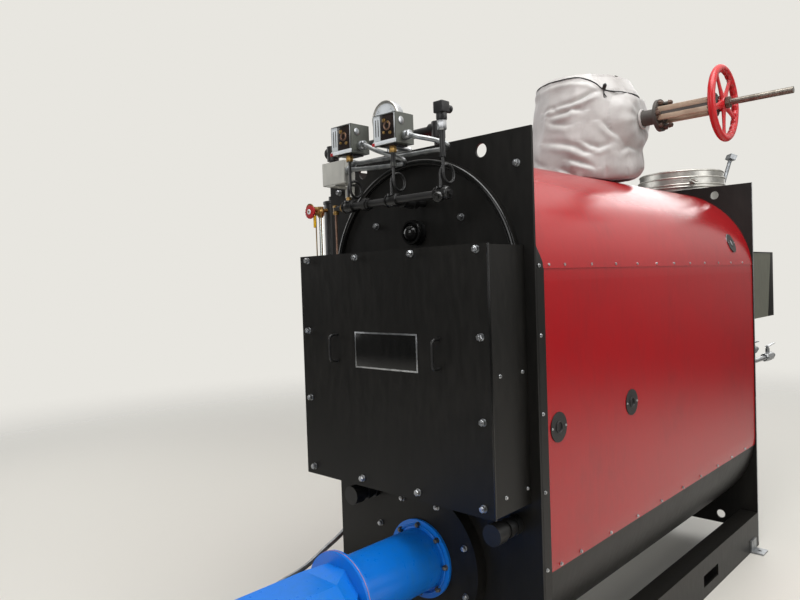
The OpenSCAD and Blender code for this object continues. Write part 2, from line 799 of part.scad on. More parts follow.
// Route of a conduit from the junction box out behind the risers to x, and back to a control case.
// The run lies at y and z, and the case's side stands at case_x.
function control_route(y, z, x, case_x) =
  let (box_x = control_box.x + control_box_size.x, end = [case_x, manifold_y + 11, siphon_top_z + 53])
  [[box_x, y, z], [box_x + 18, y, z], [box_x + 80, y, z - 5], [x - 90, y, z - 14], [x - 20, y, z - 16],
   [x + 8, y - 22, z - 8], [x - 22, y - 48, z + 8], [(x + case_x) / 2 - 4, end.y + 8, (z + end.z) / 2 + 4],
   [case_x + 34, end.y + 2, end.z - 5], [case_x + 16, end.y, end.z], end];
case_side = 8 - 9 + case_w / 2;
module control_conduits() {
  color(steel) {
    swept_tube(conduit_run(control_route(front_y - 66, siphon_top_z + 20, 205, risers[1] + case_side)),
               conduit_r, [0, 0.3, 1]);
    swept_tube(conduit_run(control_route(front_y - 88, siphon_top_z - 8, 28, risers[0] + case_side)),
               conduit_r, [0, 0.3, 1]);
  }
}

module steam_nozzle() {
  top = valve_z - valve_face / 2;
  color(iron) translate([0, nozzle_y, 0]) difference() {
    union() {
      translate([0, 0, crown_z + shell_r - shell_t - 10])
        cylinder(h = top - crown_z - shell_r + shell_t + 10, r = nozzle_r);
      translate([0, 0, top - flange_t]) cylinder(h = flange_t, r = flange_r);
    }
    translate([0, 0, crown_z]) cylinder(h = plate_h, r = steam_bore_r);
  }
}
yoke_x = wheel_x - 43;
// Far face and radius of the bonnet's flange, and far face of the gland's flange
bonnet_x = 213;
bonnet_r = 122;
gland_x = 340;
// Height and thickness of the yoke's arms, and their distance from the stem
yoke_h = 60;
yoke_t = 14;
yoke_gap = 45;
module steam_valve() {
  half = valve_face / 2;
  color(iron) translate([0, nozzle_y, valve_z]) difference() {
    union() {
      translate([0, 0, -half]) cylinder(h = valve_face, r = nozzle_r + 12);
      for (z = [-half, half - flange_t]) translate([0, 0, z]) cylinder(h = flange_t, r = flange_r);
      rod([0, 0, 0], [180, 0, 0], nozzle_r + 6);
      rod([bonnet_x - 48, 0, 0], [bonnet_x, 0, 0], bonnet_r);
      rod([bonnet_x - 13, 0, 0], [gland_x + 14, 0, 0], 36);
      rod([gland_x - 16, 0, 0], [gland_x, 0, 0], 74);
      for (s = [-1, 1]) rod([gland_x - 1, 0, s * 52], [gland_x + 34, 0, s * 52], 8);
      for (s = [-1, 1]) block([gland_x - 12, s * yoke_gap - yoke_t / 2, -yoke_h / 2],
                              [yoke_x + 14, s * yoke_gap + yoke_t / 2, yoke_h / 2]);
      rod([yoke_x, 0, 0], [yoke_x + 24, 0, 0], yoke_gap + yoke_t / 2);
      rod([yoke_x + 20, 0, 0], [wheel_x - 3, 0, 0], stem_r + 20);
    }
    translate([0, 0, -half - 1]) cylinder(h = valve_face + 2, r = steam_bore_r);
    for (k = [0 : 11]) rotate([0, 0, 15 + 30 * k]) translate([flange_pcd / 2, 0, half - flange_t - 1])
      cylinder(h = flange_t + 2, r = flange_hole_r);
    rod([50, 0, 0], [gland_x + 15, 0, 0], stem_r + running_gap);
    rod([yoke_x - 1, 0, 0], [wheel_x, 0, 0], stem_r + 8 + running_gap);
  }
}
module valve_stem() {
  color(steel) translate([0, nozzle_y, valve_z])
    rod([steam_bore_r + stem_travel, 0, 0], [stem_tip, 0, 0], stem_r);
}
module handwheel() {
  color(red) translate([0, nozzle_y, valve_z]) difference() {
    union() {
      rod([yoke_x + 2, 0, 0], [wheel_x, 0, 0], stem_r + 8);
      rod([wheel_x - 3 + seat, 0, 0], [wheel_x + 26, 0, 0], stem_r + 18);
      translate([wheel_x + 25, 0, 0]) rotate([0, 90, 0]) cylinder(h = 17, r = stem_r + 13, $fn = 6);
      translate([wheel_x + 12, 0, 0]) rotate([0, 90, 0]) rotate_extrude($fn = 96)
        translate([wheel_r, 0]) circle(rim_r, $fn = 24);
      for (k = [0 : 4]) rotate([180 + 72 * k, 0, 0]) translate([wheel_x + 20, 0, 0])
        rotate([0, -90, 0]) linear_extrude(14)
          polygon([[20, -17], [wheel_r, -11], [wheel_r, 11], [20, 17]]);
    }
    rod([yoke_x, 0, 0], [wheel_x + 43, 0, 0], stem_r + running_gap);
  }
}
module valve_wrap() {
  half = valve_face / 2;
  r = wrap_r;
  color(grey) translate([0, nozzle_y, valve_z]) difference() {
    union() {
      translate([-wrap_off, 0, 0]) rotate_extrude($fn = 64) polygon([
        [0, -half - 28], [r - 84, -half - 28], [r - 10, -half + 22], [r, -80], [r, 90],
        [r - 14, half + 14], [r - 60, half + 52], [0, half + 52]]);
    }
    translate([0, 0, -half - 40]) cylinder(h = valve_face + 120, r = flange_r + seat);
    rod([0, 0, 0], [bonnet_x + seat, 0, 0], bonnet_r + seat);
    rod([0, 0, 0], [wrap_r + 1, 0, 0], wrap_mouth_r);
  }
}

module smoke_box() {
  color(black) difference() {
    block([-cover_half_w, rear_y, smoke_z0], [cover_half_w, rear_y + smoke_d, smoke_z1]);
    block([-cover_half_w + smoke_t, rear_y - 1, smoke_z0 + smoke_t],
          [cover_half_w - smoke_t, rear_y + smoke_d - smoke_t, smoke_z1 - smoke_t]);
    translate([0, rear_y + smoke_d / 2, smoke_z1 - 50]) cylinder(h = 60, r = flue_r - smoke_t, $fn = 96);
  }
}
module flue_collar() {
  clamp_z = flue_top_z - clamp_w - clamp_down;
  color(steel) translate([0, rear_y + smoke_d / 2, 0]) difference() {
    union() {
      translate([0, 0, smoke_z1]) cylinder(h = flue_top_z - smoke_z1, r = flue_r, $fn = 96);
      translate([0, 0, clamp_z]) cylinder(h = clamp_w, r = flue_r + clamp_t, $fn = 96);
    }
    translate([0, 0, smoke_z1 - 1]) cylinder(h = flue_top_z, r = flue_r - smoke_t, $fn = 96);
  }
}
module flue_probe() {
  a = 44;
  r = flue_r + clamp_t + seat;
  foot_z = flue_top_z - clamp_down - clamp_w / 2;
  color(steel) translate([0, rear_y + smoke_d / 2, 0]) rotate([0, 0, a]) {
    rod([r + 12, 0, foot_z], [r + 62, 0, flue_top_z + 85], 11);
    translate([r + 62, 0, flue_top_z + 85]) rotate([0, 25, 0]) translate([-19, -33, 0]) cube([38, 66, 30]);
    translate([r, 0, foot_z]) rotate([0, 90, 0]) cylinder(h = 20, r = 16);
  }
}
module rear_valve() {
  color(steel) translate([side_x - 80, rear_y, port_z + 30]) {
    rod([0, 0, 0], [0, 300, 0], 14);
    rod([0, 150, 0], [0, 190, 0], 22);
    rod([0, 200, 0], [0, 250, 0], 24);
    rod([0, 225, 0], [0, 225, 38], 7);
    block([-8, 215, 38], [8, 330, 43]);
  }
}

module side_channels() {
  color(black) {
    along_y(-vessel_l / 2, vessel_l / 2) difference() {
      translate([-side_x, plate_h - channel_w - 14]) square(channel_w);
      translate([-side_x + channel_t, plate_h - channel_w - 14 + channel_t])
        square([channel_w - 2 * channel_t, channel_w]);
    }
    for (y = [panel_y0 - 26, panel_y1 - 60]) difference() {
      block([channel_x, y, panel_z - 25], [-side_x, y + channel_w, plate_h - 14]);
      block([channel_x + channel_t, y + channel_t, panel_z - 26],
            [-side_x + 1, y + channel_w - channel_t, plate_h - 13 - channel_w]);
    }
  }
}
module panel_box() {
  color(grey) {
    difference() {
      block([panel_face_x, panel_y0, panel_z], [channel_x, panel_y1, panel_z + panel_h]);
      block([panel_face_x - 1, panel_y0 + panel_t, panel_z + panel_t],
            [channel_x - panel_t, panel_y1 - panel_t, panel_z + panel_h - panel_t]);
    }
    for (z = [panel_z + 80, panel_z + panel_h - 130]) {
      block([hinge_x, hinge_y - 3, z - 12], [panel_face_x + 6, panel_y0, z]);
      translate([hinge_x, hinge_y, z - 12]) cylinder(h = 12, r = hinge_r);
      translate([hinge_x, hinge_y, z - 1]) cylinder(h = 50, r = hinge_r / 2);
    }
  }
}
module panel_door() {
  color(grey) difference() {
    union() {
      block([door_x, panel_y0 + panel_gap, panel_z], [door_x + panel_door_t, panel_y1, panel_z + panel_h]);
      for (z = [panel_z + 80, panel_z + panel_h - 130]) {
        translate([hinge_x, hinge_y, z + seat]) cylinder(h = 48, r = hinge_r);
        block([hinge_x - 3, hinge_y, z + seat], [hinge_x + 3, panel_y0 + panel_gap + 1, z + 48]);
      }
    }
    for (z = [panel_z + 80, panel_z + panel_h - 130])
      translate([hinge_x, hinge_y, z - 2]) cylinder(h = 52, r = hinge_r / 2 + running_gap);
    rod([door_x - 1, front_y + port_middle, panel_z + 145],
        [door_x + panel_door_t + 1, front_y + port_middle, panel_z + 145], 6 + running_gap);
  }
}
module disconnect_knob() {
  color(black) translate([door_x, front_y + port_middle, panel_z + 145]) {
    rod([-seat, 0, 0], [-8, 0, 0], 28);
    rod([-8, 0, 0], [-26, 0, 0], 20);
    block([-34, -6, -24], [-20, 6, 24]);
    rod([-seat - 1, 0, 0], [panel_door_t, 0, 0], 6);
  }
}
module alarm_horn() {
  z = panel_z + panel_h + 50;
  color([0.1, 0.25, 0.2]) translate([0, panel_y0 + 195, 0]) {
    rod([panel_face_x + 140, 0, z], [panel_face_x + 115, 0, z], 49);
    rod([panel_face_x + 116, 0, z], [panel_face_x + 30, 0, z], 44);
    block([panel_face_x + 110, -30, z - 50], [panel_face_x + 145, 30, z]);
  }
}
module feed_controller() {
  z = panel_z + 57;
  color([0.85, 0.86, 0.88])
    block([-side_jacket_r, panel_y0 - 300, z], [-side_jacket_r - 95, panel_y0 - 69, z + 178]);
}

module water_column() {
  color(iron) translate([column_x, column_y, 0]) {
    translate([0, 0, column_z0]) cylinder(h = column_z1 - column_z0, r = column_r);
    translate([0, 0, column_z0 - 18]) cylinder(h = 20, r = pipe_r + 9);
    translate([0, 0, column_z1 - 2]) cylinder(h = 24, r = pipe_r + 9);
  }
}
module column_piping() {
  low = blow_z - blow_l / 2;
  color(iron) translate([column_x, column_y, 0]) {
    // upright from the column, tee, pipe over the crown, and its tee and nozzle
    translate([0, 0, column_z1 + 22]) cylinder(h = bridge_z - column_z1 - 56 - seat, r = pipe_r);
    translate([0, 0, bridge_z - 34]) cylinder(h = 62, r = pipe_r + 9);
    rod([-28, 0, bridge_z], [36, 0, bridge_z], pipe_r + 8);
    rod([36 + seat, 0, bridge_z], [-column_x - 36 - seat, 0, bridge_z], pipe_r);
    rod([-column_x - 36, 0, bridge_z], [-column_x, 0, bridge_z], pipe_r + 8);
    translate([-column_x, 0, bridge_z - 34]) cylinder(h = 60, r = pipe_r + 9);
    translate([-column_x, 0, crown_z + shell_r - shell_t - 8])
      cylinder(h = bridge_z - crown_z - shell_r + shell_t - 26 - seat, r = pipe_r);
    // upright below the column with its union, tee and pipe into the hand port
    translate([0, 0, port_z + 287 + seat]) cylinder(h = column_z0 - 18 - port_z - 287 - seat, r = pipe_r);
    translate([0, 0, port_z + 255]) cylinder(h = 32, r = pipe_r + 10);
    translate([0, 0, port_z + 32 + seat]) cylinder(h = 223 - 2 * seat, r = pipe_r);
    translate([0, 0, port_z - 32]) cylinder(h = 64, r = pipe_r + 9);
    rod([-30, 0, port_z], [32, 0, port_z], pipe_r + 8);
    rod([32 + seat, 0, port_z], [-column_x - shell_r, 0, port_z], pipe_r);
    translate([0, 0, blow_z + blow_l / 2]) cylinder(h = port_z - 32 - seat - blow_z - blow_l / 2, r = pipe_r);
    // blowdown pipe and its union
    translate([0, 0, low - 100]) cylinder(h = 100, r = pipe_r);
    translate([0, 0, low - 84]) cylinder(h = 60, r = pipe_r + 9);
  }
}
glass_y = column_y - glass_gap;
module gauge_glass() {
  color([0.8, 0.9, 0.9]) translate([column_x, glass_y, glass_z0 + 14])
    cylinder(h = glass_z1 - glass_z0 - 28, r = glass_r);
}
module gauge_valves() {
  color(gold) for (z = [glass_z0, glass_z1]) translate([column_x, 0, z]) {
    rod([0, glass_y - 55, 0], [0, column_y - column_r - seat, 0], 8);
    translate([0, glass_y, -14]) cylinder(h = 28, r = 14);
    rod([0, glass_y - 40, 0], [0, glass_y - 18, 0], 13);
    rod([0, glass_y - 60, 0], [0, glass_y - 54, 0], 24);
  }
}
module low_water_cutoff() {
  y = column_y + bowl_gap;
  color(iron) translate([column_x, 0, bowl_z]) difference() {
    union() {
      translate([0, y, 0]) rotate_extrude() polygon(concat([[0, -bowl_r]],
        [for (a = [-80 : 10 : 80]) [bowl_r * cos(a), bowl_r * sin(a)]], [[0, bowl_r]]));
      translate([0, y, bowl_r - 14]) cylinder(h = 16, r = 48);
      translate([0, y, bowl_r]) cylinder(h = 40, r = 32);
      block([-32, y - 32, bowl_r + 38], [32, y + 190, bowl_r + 96]);
      translate([0, y + 60, bowl_r + 95]) cylinder(h = 46, r = 9);
      block([-30, y + 10, bowl_r + 140], [30, y + 140, bowl_r + 190]);
      rod([0, column_y, 0], [0, y, 0], 20);
      rod([0, column_y, bowl_r + 67], [0, y - 20, bowl_r + 67], 14);
    }
    translate([0, column_y, -200]) cylinder(h = 600, r = column_r + seat);
  }
}

module valve_body(r, l) {
  cylinder(h = l, r = r, center = true);
  for (s = [-1, 1]) translate([0, 0, s * (l / 2 - 6)]) cylinder(h = 12, r = r + 4, center = true, $fn = 8);
}
module brass_valves() {
  color(gold) {
    translate([column_x, column_y, blow_z]) valve_body(22, blow_l);
    rod([column_x, column_y, blow_z], [column_x - 36, column_y, blow_z], 8);
    for (d = [gas_cock_d, gas_hand_d]) {
      translate([gas_x, front_y + d, gas_z]) rotate([90, 0, 0]) valve_body(28, 84);
      rod([gas_x, front_y + d, gas_z], [gas_x, front_y + d, gas_z + 42], 9);
    }
  }
}
module lever(l) {
  translate([0, 0, seat]) cylinder(h = 5, r = 13);
  translate([0, -11, seat]) cube([l, 22, 5]);
}
module blowdown_lever() {
  color(yellow) translate([column_x - 36, column_y, blow_z]) rotate([0, -90, 0]) rotate([0, 0, -90])
    lever(105);
}
module gas_cock_lever() {
  color(yellow) translate([gas_x, front_y + gas_cock_d, gas_z + 42]) rotate([0, 0, -90]) lever(120);
}
module hand_valve_lever() {
  color(yellow) translate([gas_x, front_y + gas_hand_d, gas_z + 42]) rotate([0, 0, -90]) lever(130);
}
module gas_piping() {
  cock = front_y + gas_cock_d;
  tee = front_y + gas_tee_d;
  hand = front_y + gas_hand_d;
  block_mid = front_y + gas_block_d;
  pad_z = burner_z - blast_r - seat;
  color(iron) {
    // supply tee with its inlet, drip leg and cap
    difference() {
      union() {
        rod([gas_x, tee - 40, gas_z], [gas_x, tee + 40, gas_z], gas_r + 8);
        rod([gas_x, tee, gas_z - 50], [gas_x, tee, gas_z], gas_r + 8);
      }
      rod([gas_x, tee + 10, gas_z], [gas_x, tee + 41, gas_z], gas_r);
    }
    rod([gas_x, tee, gas_z - 180], [gas_x, tee, gas_z - 50 - seat], gas_r);
    rod([gas_x, tee, gas_z - 190], [gas_x, tee, gas_z - 150], gas_r + 8);
    // pipes between the tee, the cock, the valve block and the hand valve
    rod([gas_x, cock + 42, gas_z], [gas_x, tee - 40 - seat, gas_z], gas_r);
    rod([gas_x, block_mid + gas_block_l / 2, gas_z], [gas_x, cock - 42, gas_z], gas_r);
    rod([gas_x, hand + 42, gas_z], [gas_x, block_mid - gas_block_l / 2, gas_z], gas_r);
    rod([gas_x, front_y + gas_sense_d - 40, gas_z], [gas_x, front_y + gas_sense_d + 40, gas_z], gas_r + 8);
    // run to the elbow, across to the burner and up into the blast tube
    rod([gas_x, gas_turn_y + 40 + seat, gas_z], [gas_x, hand - 42, gas_z], gas_r);
    gas_elbow([gas_x, gas_turn_y, gas_z], [0, 40, 0], [40, 0, 0]);
    rod([gas_x + 40 + seat, gas_turn_y, gas_z], [-40 - seat, gas_turn_y, gas_z], gas_r);
    gas_elbow([0, gas_turn_y, gas_z], [-40, 0, 0], [0, 0, 40]);
    rod([0, gas_turn_y, gas_z + 40 + seat], [0, gas_turn_y, pad_z - 24], gas_r);
    rod([0, gas_turn_y, pad_z - 26], [0, gas_turn_y, pad_z], 46);
  }
}
// Pipe elbow at a corner with its two mouths
module gas_elbow(corner, one, two) {
  translate(corner) {
    rotate([0, 0, atan2(-one.y - two.y, -one.x - two.x)]) sphere(gas_r + 10);
    rod([0, 0, 0], one, gas_r + 8);
    rod([0, 0, 0], two, gas_r + 8);
  }
}
module gas_block() {
  y0 = front_y + gas_block_d - gas_block_l / 2;
  color(grey) {
    block([gas_x - 52, y0 + 20, gas_z - 70], [gas_x + 52, y0 + gas_block_l - 20, gas_z + 55]);
    for (y = [y0 + seat, y0 + gas_block_l - 22 - seat])
      block([gas_x - 45, y, gas_z - 45], [gas_x + 45, y + 22, gas_z + 45]);
    for (y = [y0 + 60, y0 + 185]) block([gas_x - 58, y, gas_z + 40], [gas_x + 42, y + 95, gas_z + 135]);
    rod([gas_x - 20, y0 + 110, gas_z + 175], [gas_x - 62, y0 + 110, gas_z + 175], 47);
    rod([gas_x - 30, y0 + 110, gas_z + 134], [gas_x - 30, y0 + 110, gas_z + 175], 12);
  }
}
module gas_actuator() {
  x = gas_x + 230;
  color(iron) {
    difference() {
      rod([x - 34, gas_turn_y, gas_z], [x + 34, gas_turn_y, gas_z], gas_r + 20);
      rod([x - 40, gas_turn_y, gas_z], [x + 40, gas_turn_y, gas_z], gas_r + seat);
    }
    rod([x, gas_turn_y, gas_z + gas_r + 16], [x, gas_turn_y, gas_z + 80], 16);
    block([x - 50, gas_turn_y - 60, gas_z + 78], [x + 50, gas_turn_y + 60, gas_z + 172]);
  }
}
// Route of the conduit from the panel down past the gas train to the air servo
panel_y = panel_y0 + 65;
servo_x = -housing_half_w - drum_l / 2;
servo_y = drum_y + drum_r + servo_d / 2 - 0.5;
servo_top_z = drum_z - 15 + servo_h;
conduit_route = [
  [gas_x - 70, panel_y, panel_z], [gas_x - 70, panel_y, panel_z - 25],
  [gas_x - 70, panel_y + 7, 1000], [gas_x - 68, panel_y, 760], [gas_x - 60, panel_y - 60, 620],
  [gas_x - 42, panel_y - 220, gas_z + 305], [gas_x - 32, front_y + 190, gas_z + 215],
  [gas_x - 32, front_y + 95, gas_z + 165], [gas_x - 32, front_y + 19, gas_z + 135],
  [gas_x - 30, front_y - 101, gas_z + 90], [gas_x - 20, front_y - 241, gas_z + 72],
  [gas_x + 20, gas_turn_y - 45, gas_z + 72], [gas_x + 100, servo_y + 34, gas_z + 75],
  [servo_x - 125, servo_y, servo_top_z + 58], [servo_x - 25, servo_y, servo_top_z + 52],
  [servo_x, servo_y, servo_top_z + 32], [servo_x, servo_y, servo_top_z + 16],
  [servo_x, servo_y, servo_top_z]];
module panel_conduits() {
  color(steel) swept_tube(conduit_run(conduit_route), conduit_r + 3, [0.8, 0.5, -0.4]);
}

vessel_shell();
front_plate();
rear_plate();
left_rail();
right_rail();
foot_clips();
crown_jacket();
left_jacket();
right_jacket();
corner_strips();
port_covers();
flue_door();
sight_port();
cover_box();
cover_panel();
cover_handles();
burner_plate();
blast_tube();
burner_housing();
fan_motor();
inlet_drum();
drum_cover();
air_servo();
terminal_boxes();
inspection_stubs();
control_manifold();
siphon_loops();
pressure_controls();
pressure_sensor();
pressure_gauge();
control_conduits();
steam_nozzle();
steam_valve();
valve_stem();
handwheel();
valve_wrap();
smoke_box();
flue_collar();
flue_probe();
rear_valve();
side_channels();
panel_box();
panel_door();
disconnect_knob();
alarm_horn();
feed_controller();
water_column();
column_piping();
gauge_glass();
gauge_valves();
low_water_cutoff();
brass_valves();
blowdown_lever();
gas_piping();
gas_block();
gas_actuator();
gas_cock_lever();
hand_valve_lever();
panel_conduits();
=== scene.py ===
"""Dresses a skid-mounted steam boiler: paint, jacket cloth, fasteners, fittings, conduits and dials."""

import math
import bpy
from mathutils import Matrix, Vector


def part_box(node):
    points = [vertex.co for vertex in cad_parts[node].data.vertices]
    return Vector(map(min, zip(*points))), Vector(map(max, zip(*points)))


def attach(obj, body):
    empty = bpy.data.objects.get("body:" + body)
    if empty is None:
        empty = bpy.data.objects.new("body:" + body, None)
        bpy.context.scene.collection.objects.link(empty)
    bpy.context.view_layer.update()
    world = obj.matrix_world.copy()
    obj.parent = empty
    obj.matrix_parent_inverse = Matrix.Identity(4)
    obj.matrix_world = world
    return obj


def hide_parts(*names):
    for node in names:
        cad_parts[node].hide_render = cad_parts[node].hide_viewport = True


bl_info = {
    "name": "Steam boiler dressing",
    "version": (1, 0, 0),
    "blender": (4, 5, 0),
    "location": "3D View > Sidebar > Boiler",
    "description": "Finishes and small pieces of a skid-mounted steam boiler",
    "category": "Object",
}

import bpy
from bpy.props import FloatProperty, PointerProperty, StringProperty
from mathutils import Matrix, Vector, noise

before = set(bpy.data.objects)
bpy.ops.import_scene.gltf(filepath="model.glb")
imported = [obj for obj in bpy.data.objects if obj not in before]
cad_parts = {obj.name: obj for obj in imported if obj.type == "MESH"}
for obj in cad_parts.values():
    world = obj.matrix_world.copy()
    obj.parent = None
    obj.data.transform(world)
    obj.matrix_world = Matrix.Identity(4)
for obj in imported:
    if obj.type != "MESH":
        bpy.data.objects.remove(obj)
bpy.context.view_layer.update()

UP = Vector((0, 0, 1))
FRONT = Vector((0, -1, 0))
RIGHT = Vector((1, 0, 0))
PANEL_LOW, PANEL_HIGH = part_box("cover_panel")
FRONT_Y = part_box("front_plate")[0].y
COVER_Y = PANEL_LOW.y
BURNER_Z = (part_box("burner_plate")[0].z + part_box("burner_plate")[1].z) / 2
WHEEL_LOW, WHEEL_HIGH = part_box("handwheel")
VALVE_AXIS = Vector((0, (WHEEL_LOW.y + WHEEL_HIGH.y) / 2, (WHEEL_LOW.z + WHEEL_HIGH.z) / 2))
# Axis of the control manifold, and height of the jacket's ports
MANIFOLD_Y, MANIFOLD_Z = -1.269, 1.8
PORT_Z = 1.028


class BoilerPaints(bpy.types.PropertyGroup):
    """Colours that a user would change, as sRGB hex."""

    jacket: StringProperty(name="Jacket", description="Red enamel of the jacket sheets", default="9C0F16")
    plates: StringProperty(name="Plates", description="Near-black paint of plates and skid", default="131210")
    burner: StringProperty(name="Burner", description="Blue paint of the burner", default="0671D3")
    wheel: StringProperty(name="Handwheel", description="Red paint of the handwheel", default="B4181D")
    cloth: StringProperty(name="Cloth", description="Grey coated cloth round the valve", default="B4B1AD")
    enclosures: StringProperty(name="Enclosures", description="Grey paint of the boxes", default="8E9294")
    floor: StringProperty(name="Floor", description="Floor of the stage", default="D9D5CB")


class BoilerSizes(bpy.types.PropertyGroup):
    """Sizes that a user would change."""

    cover_bolt: FloatProperty(name="Cover bolt", description="Width across flats of the cover's bolts",
                              default=0.019, unit="LENGTH")
    sheet_screw: FloatProperty(name="Sheet screw", description="Width across flats of the sheet screws",
                               default=0.009, unit="LENGTH")
    flange_bolt: FloatProperty(name="Flange bolt", description="Width across flats of the burner's bolts",
                               default=0.017, unit="LENGTH")
    camera_lens: FloatProperty(name="Lens", description="Focal length on a 36 mm wide sensor", default=30.55)


def linear(code):
    """sRGB hex to the linear colour that a shader takes."""
    parts = [int(code[i:i + 2], 16) / 255 for i in (0, 2, 4)]
    return tuple(p / 12.92 if p <= 0.04045 else ((p + 0.055) / 1.055) ** 2.4 for p in parts) + (1.0,)


def node(tree, kind, inputs=None, **settings):
    """Adds a shader node with its settings, values and links."""
    made = tree.nodes.new(kind)
    for key, value in settings.items():
        setattr(made, key, value)
    for key, value in (inputs or {}).items():
        if isinstance(value, bpy.types.NodeSocket):
            tree.links.new(value, made.inputs[key])
        else:
            made.inputs[key].default_value = value
    return made


def finish_of(name):
    """A new material of the given name, with its tree and its shader."""
    made = bpy.data.materials.new(name)
    made.use_nodes = True
    return made, made.node_tree, made.node_tree.nodes["Principled BSDF"]


def ramp(tree, factor, stops):
    """Colour ramp over a factor, from (place, hex) stops."""
    made = node(tree, "ShaderNodeValToRGB", {"Fac": factor})
    elements = made.color_ramp.elements
    while len(elements) < len(stops):
        elements.new(0.5)
    for element, (place, code) in zip(elements, stops):
        element.position = place
        element.color = linear(code)
    return made.outputs["Color"]


def between(tree, factor, low, high):
    """A value from low to high as the factor goes from 0 to 1."""
    return node(tree, "ShaderNodeMapRange", {"Value": factor, "To Min": low, "To Max": high}).outputs[0]


def grain(tree, where, size, detail=3.0, stretch=(1, 1, 1)):
    """Noise whose lumps are about size metres across."""
    spread = node(tree, "ShaderNodeMapping", {"Vector": where, "Scale": stretch})
    return node(tree, "ShaderNodeTexNoise", {"Vector": spread.outputs[0], "Scale": 1 / size,
                                             "Detail": detail}).outputs["Fac"]


def bump(tree, height, depth, strength=1.0, below=None):
    """Bump of a real depth in metres."""
    inputs = {"Height": height, "Distance": depth, "Strength": strength}
    if below is not None:
        inputs["Normal"] = below
    return node(tree, "ShaderNodeBump", inputs).outputs["Normal"]


def painted(name, code, dusty, rough, peel=0.0009, waves=0.0, wave_depth=0.0, shine=0.5):
    """Sprayed paint on sheet steel: an even colour, a little dust, orange peel and, on big thin sheets, slow waves."""
    made, tree, shader = finish_of(name)
    where = node(tree, "ShaderNodeTexCoord").outputs["Object"]
    cloud = grain(tree, where, 0.35)
    scuff = grain(tree, where, 0.02, 6.0, (1, 1, 0.25))
    mixed = node(tree, "ShaderNodeMath", {0: cloud, 1: scuff}, operation="MULTIPLY").outputs[0]
    colour = ramp(tree, mixed, [(0.18, code), (0.55, dusty)])
    tree.links.new(colour, shader.inputs["Base Color"])
    tree.links.new(between(tree, scuff, rough - 0.06, rough + 0.1), shader.inputs["Roughness"])
    skin = bump(tree, grain(tree, where, peel * 4, 2.0), peel * 0.12, 0.5)
    if waves:
        skin = bump(tree, grain(tree, where, waves, 1.0), wave_depth, 1.0, skin)
    tree.links.new(skin, shader.inputs["Normal"])
    shader.inputs["Specular IOR Level"].default_value = shine
    return made


def bare_metal(name, light, dark, rough, scratch=(1, 1, 1), size=0.004):
    """Bare or plated metal: metallic, with a fine grain and a cloudier plating."""
    made, tree, shader = finish_of(name)
    where = node(tree, "ShaderNodeTexCoord").outputs["Object"]
    cloud = grain(tree, where, 0.03, 4.0)
    line = grain(tree, where, size, 4.0, scratch)
    tree.links.new(ramp(tree, cloud, [(0.3, dark), (0.7, light)]), shader.inputs["Base Color"])
    tree.links.new(between(tree, line, rough - 0.08, rough + 0.12), shader.inputs["Roughness"])
    tree.links.new(bump(tree, line, size * 0.04, 0.4), shader.inputs["Normal"])
    shader.inputs["Metallic"].default_value = 1.0
    return made


def moulded(name, code, worn, rough, grit=0.0006):
    """Moulded plastic: a fine spark-eroded grain, with tone and gloss that vary a little in soft clouds."""
    made, tree, shader = finish_of(name)
    where = node(tree, "ShaderNodeTexCoord").outputs["Object"]
    cloud = grain(tree, where, 0.04, 3.0)
    tree.links.new(ramp(tree, cloud, [(0.35, code), (0.75, worn)]), shader.inputs["Base Color"])
    tree.links.new(between(tree, cloud, rough - 0.05, rough + 0.08), shader.inputs["Roughness"])
    tree.links.new(bump(tree, grain(tree, where, grit, 2.0), 0.00006, 0.5), shader.inputs["Normal"])
    shader.inputs["IOR"].default_value = 1.46
    return made


def cast(name, code, worn, rough):
    """Painted or bare iron casting: the sand's pitted skin shows through."""
    made, tree, shader = finish_of(name)
    where = node(tree, "ShaderNodeTexCoord").outputs["Object"]
    pits = grain(tree, where, 0.004, 6.0)
    cloud = grain(tree, where, 0.06, 4.0)
    tree.links.new(ramp(tree, cloud, [(0.35, code), (0.75, worn)]), shader.inputs["Base Color"])
    tree.links.new(between(tree, pits, rough - 0.1, rough + 0.1), shader.inputs["Roughness"])
    tree.links.new(bump(tree, pits, 0.0005, 0.6), shader.inputs["Normal"])
    return made


def coated_cloth(name, code, shade):
    """Silicone-coated glass cloth: a close plain weave with a dull sheen, soiled a little."""
    made, tree, shader = finish_of(name)
    where = node(tree, "ShaderNodeTexCoord").outputs["Object"]
    weave = node(tree, "ShaderNodeTexWave", {"Vector": where, "Scale": 55.0, "Distortion": 1.5},
                 bands_direction="DIAGONAL").outputs["Fac"]
    cloud = grain(tree, where, 0.12, 5.0)
    tree.links.new(ramp(tree, cloud, [(0.3, shade), (0.7, code)]), shader.inputs["Base Color"])
    tree.links.new(between(tree, cloud, 0.38, 0.52), shader.inputs["Roughness"])
    folds = bump(tree, grain(tree, where, 0.035, 3.0), 0.0015, 0.6)
    tree.links.new(bump(tree, weave, 0.0001, 0.5, folds), shader.inputs["Normal"])
    shader.inputs["Sheen Weight"].default_value = 0.25
    return made


def clear_glass(name):
    """Borosilicate tube or dial glass."""
    made, _, shader = finish_of(name)
    shader.inputs["Base Color"].default_value = linear("EAF3F1")
    shader.inputs["Roughness"].default_value = 0.03
    shader.inputs["IOR"].default_value = 1.47
    shader.inputs["Transmission Weight"].default_value = 0.9
    return made


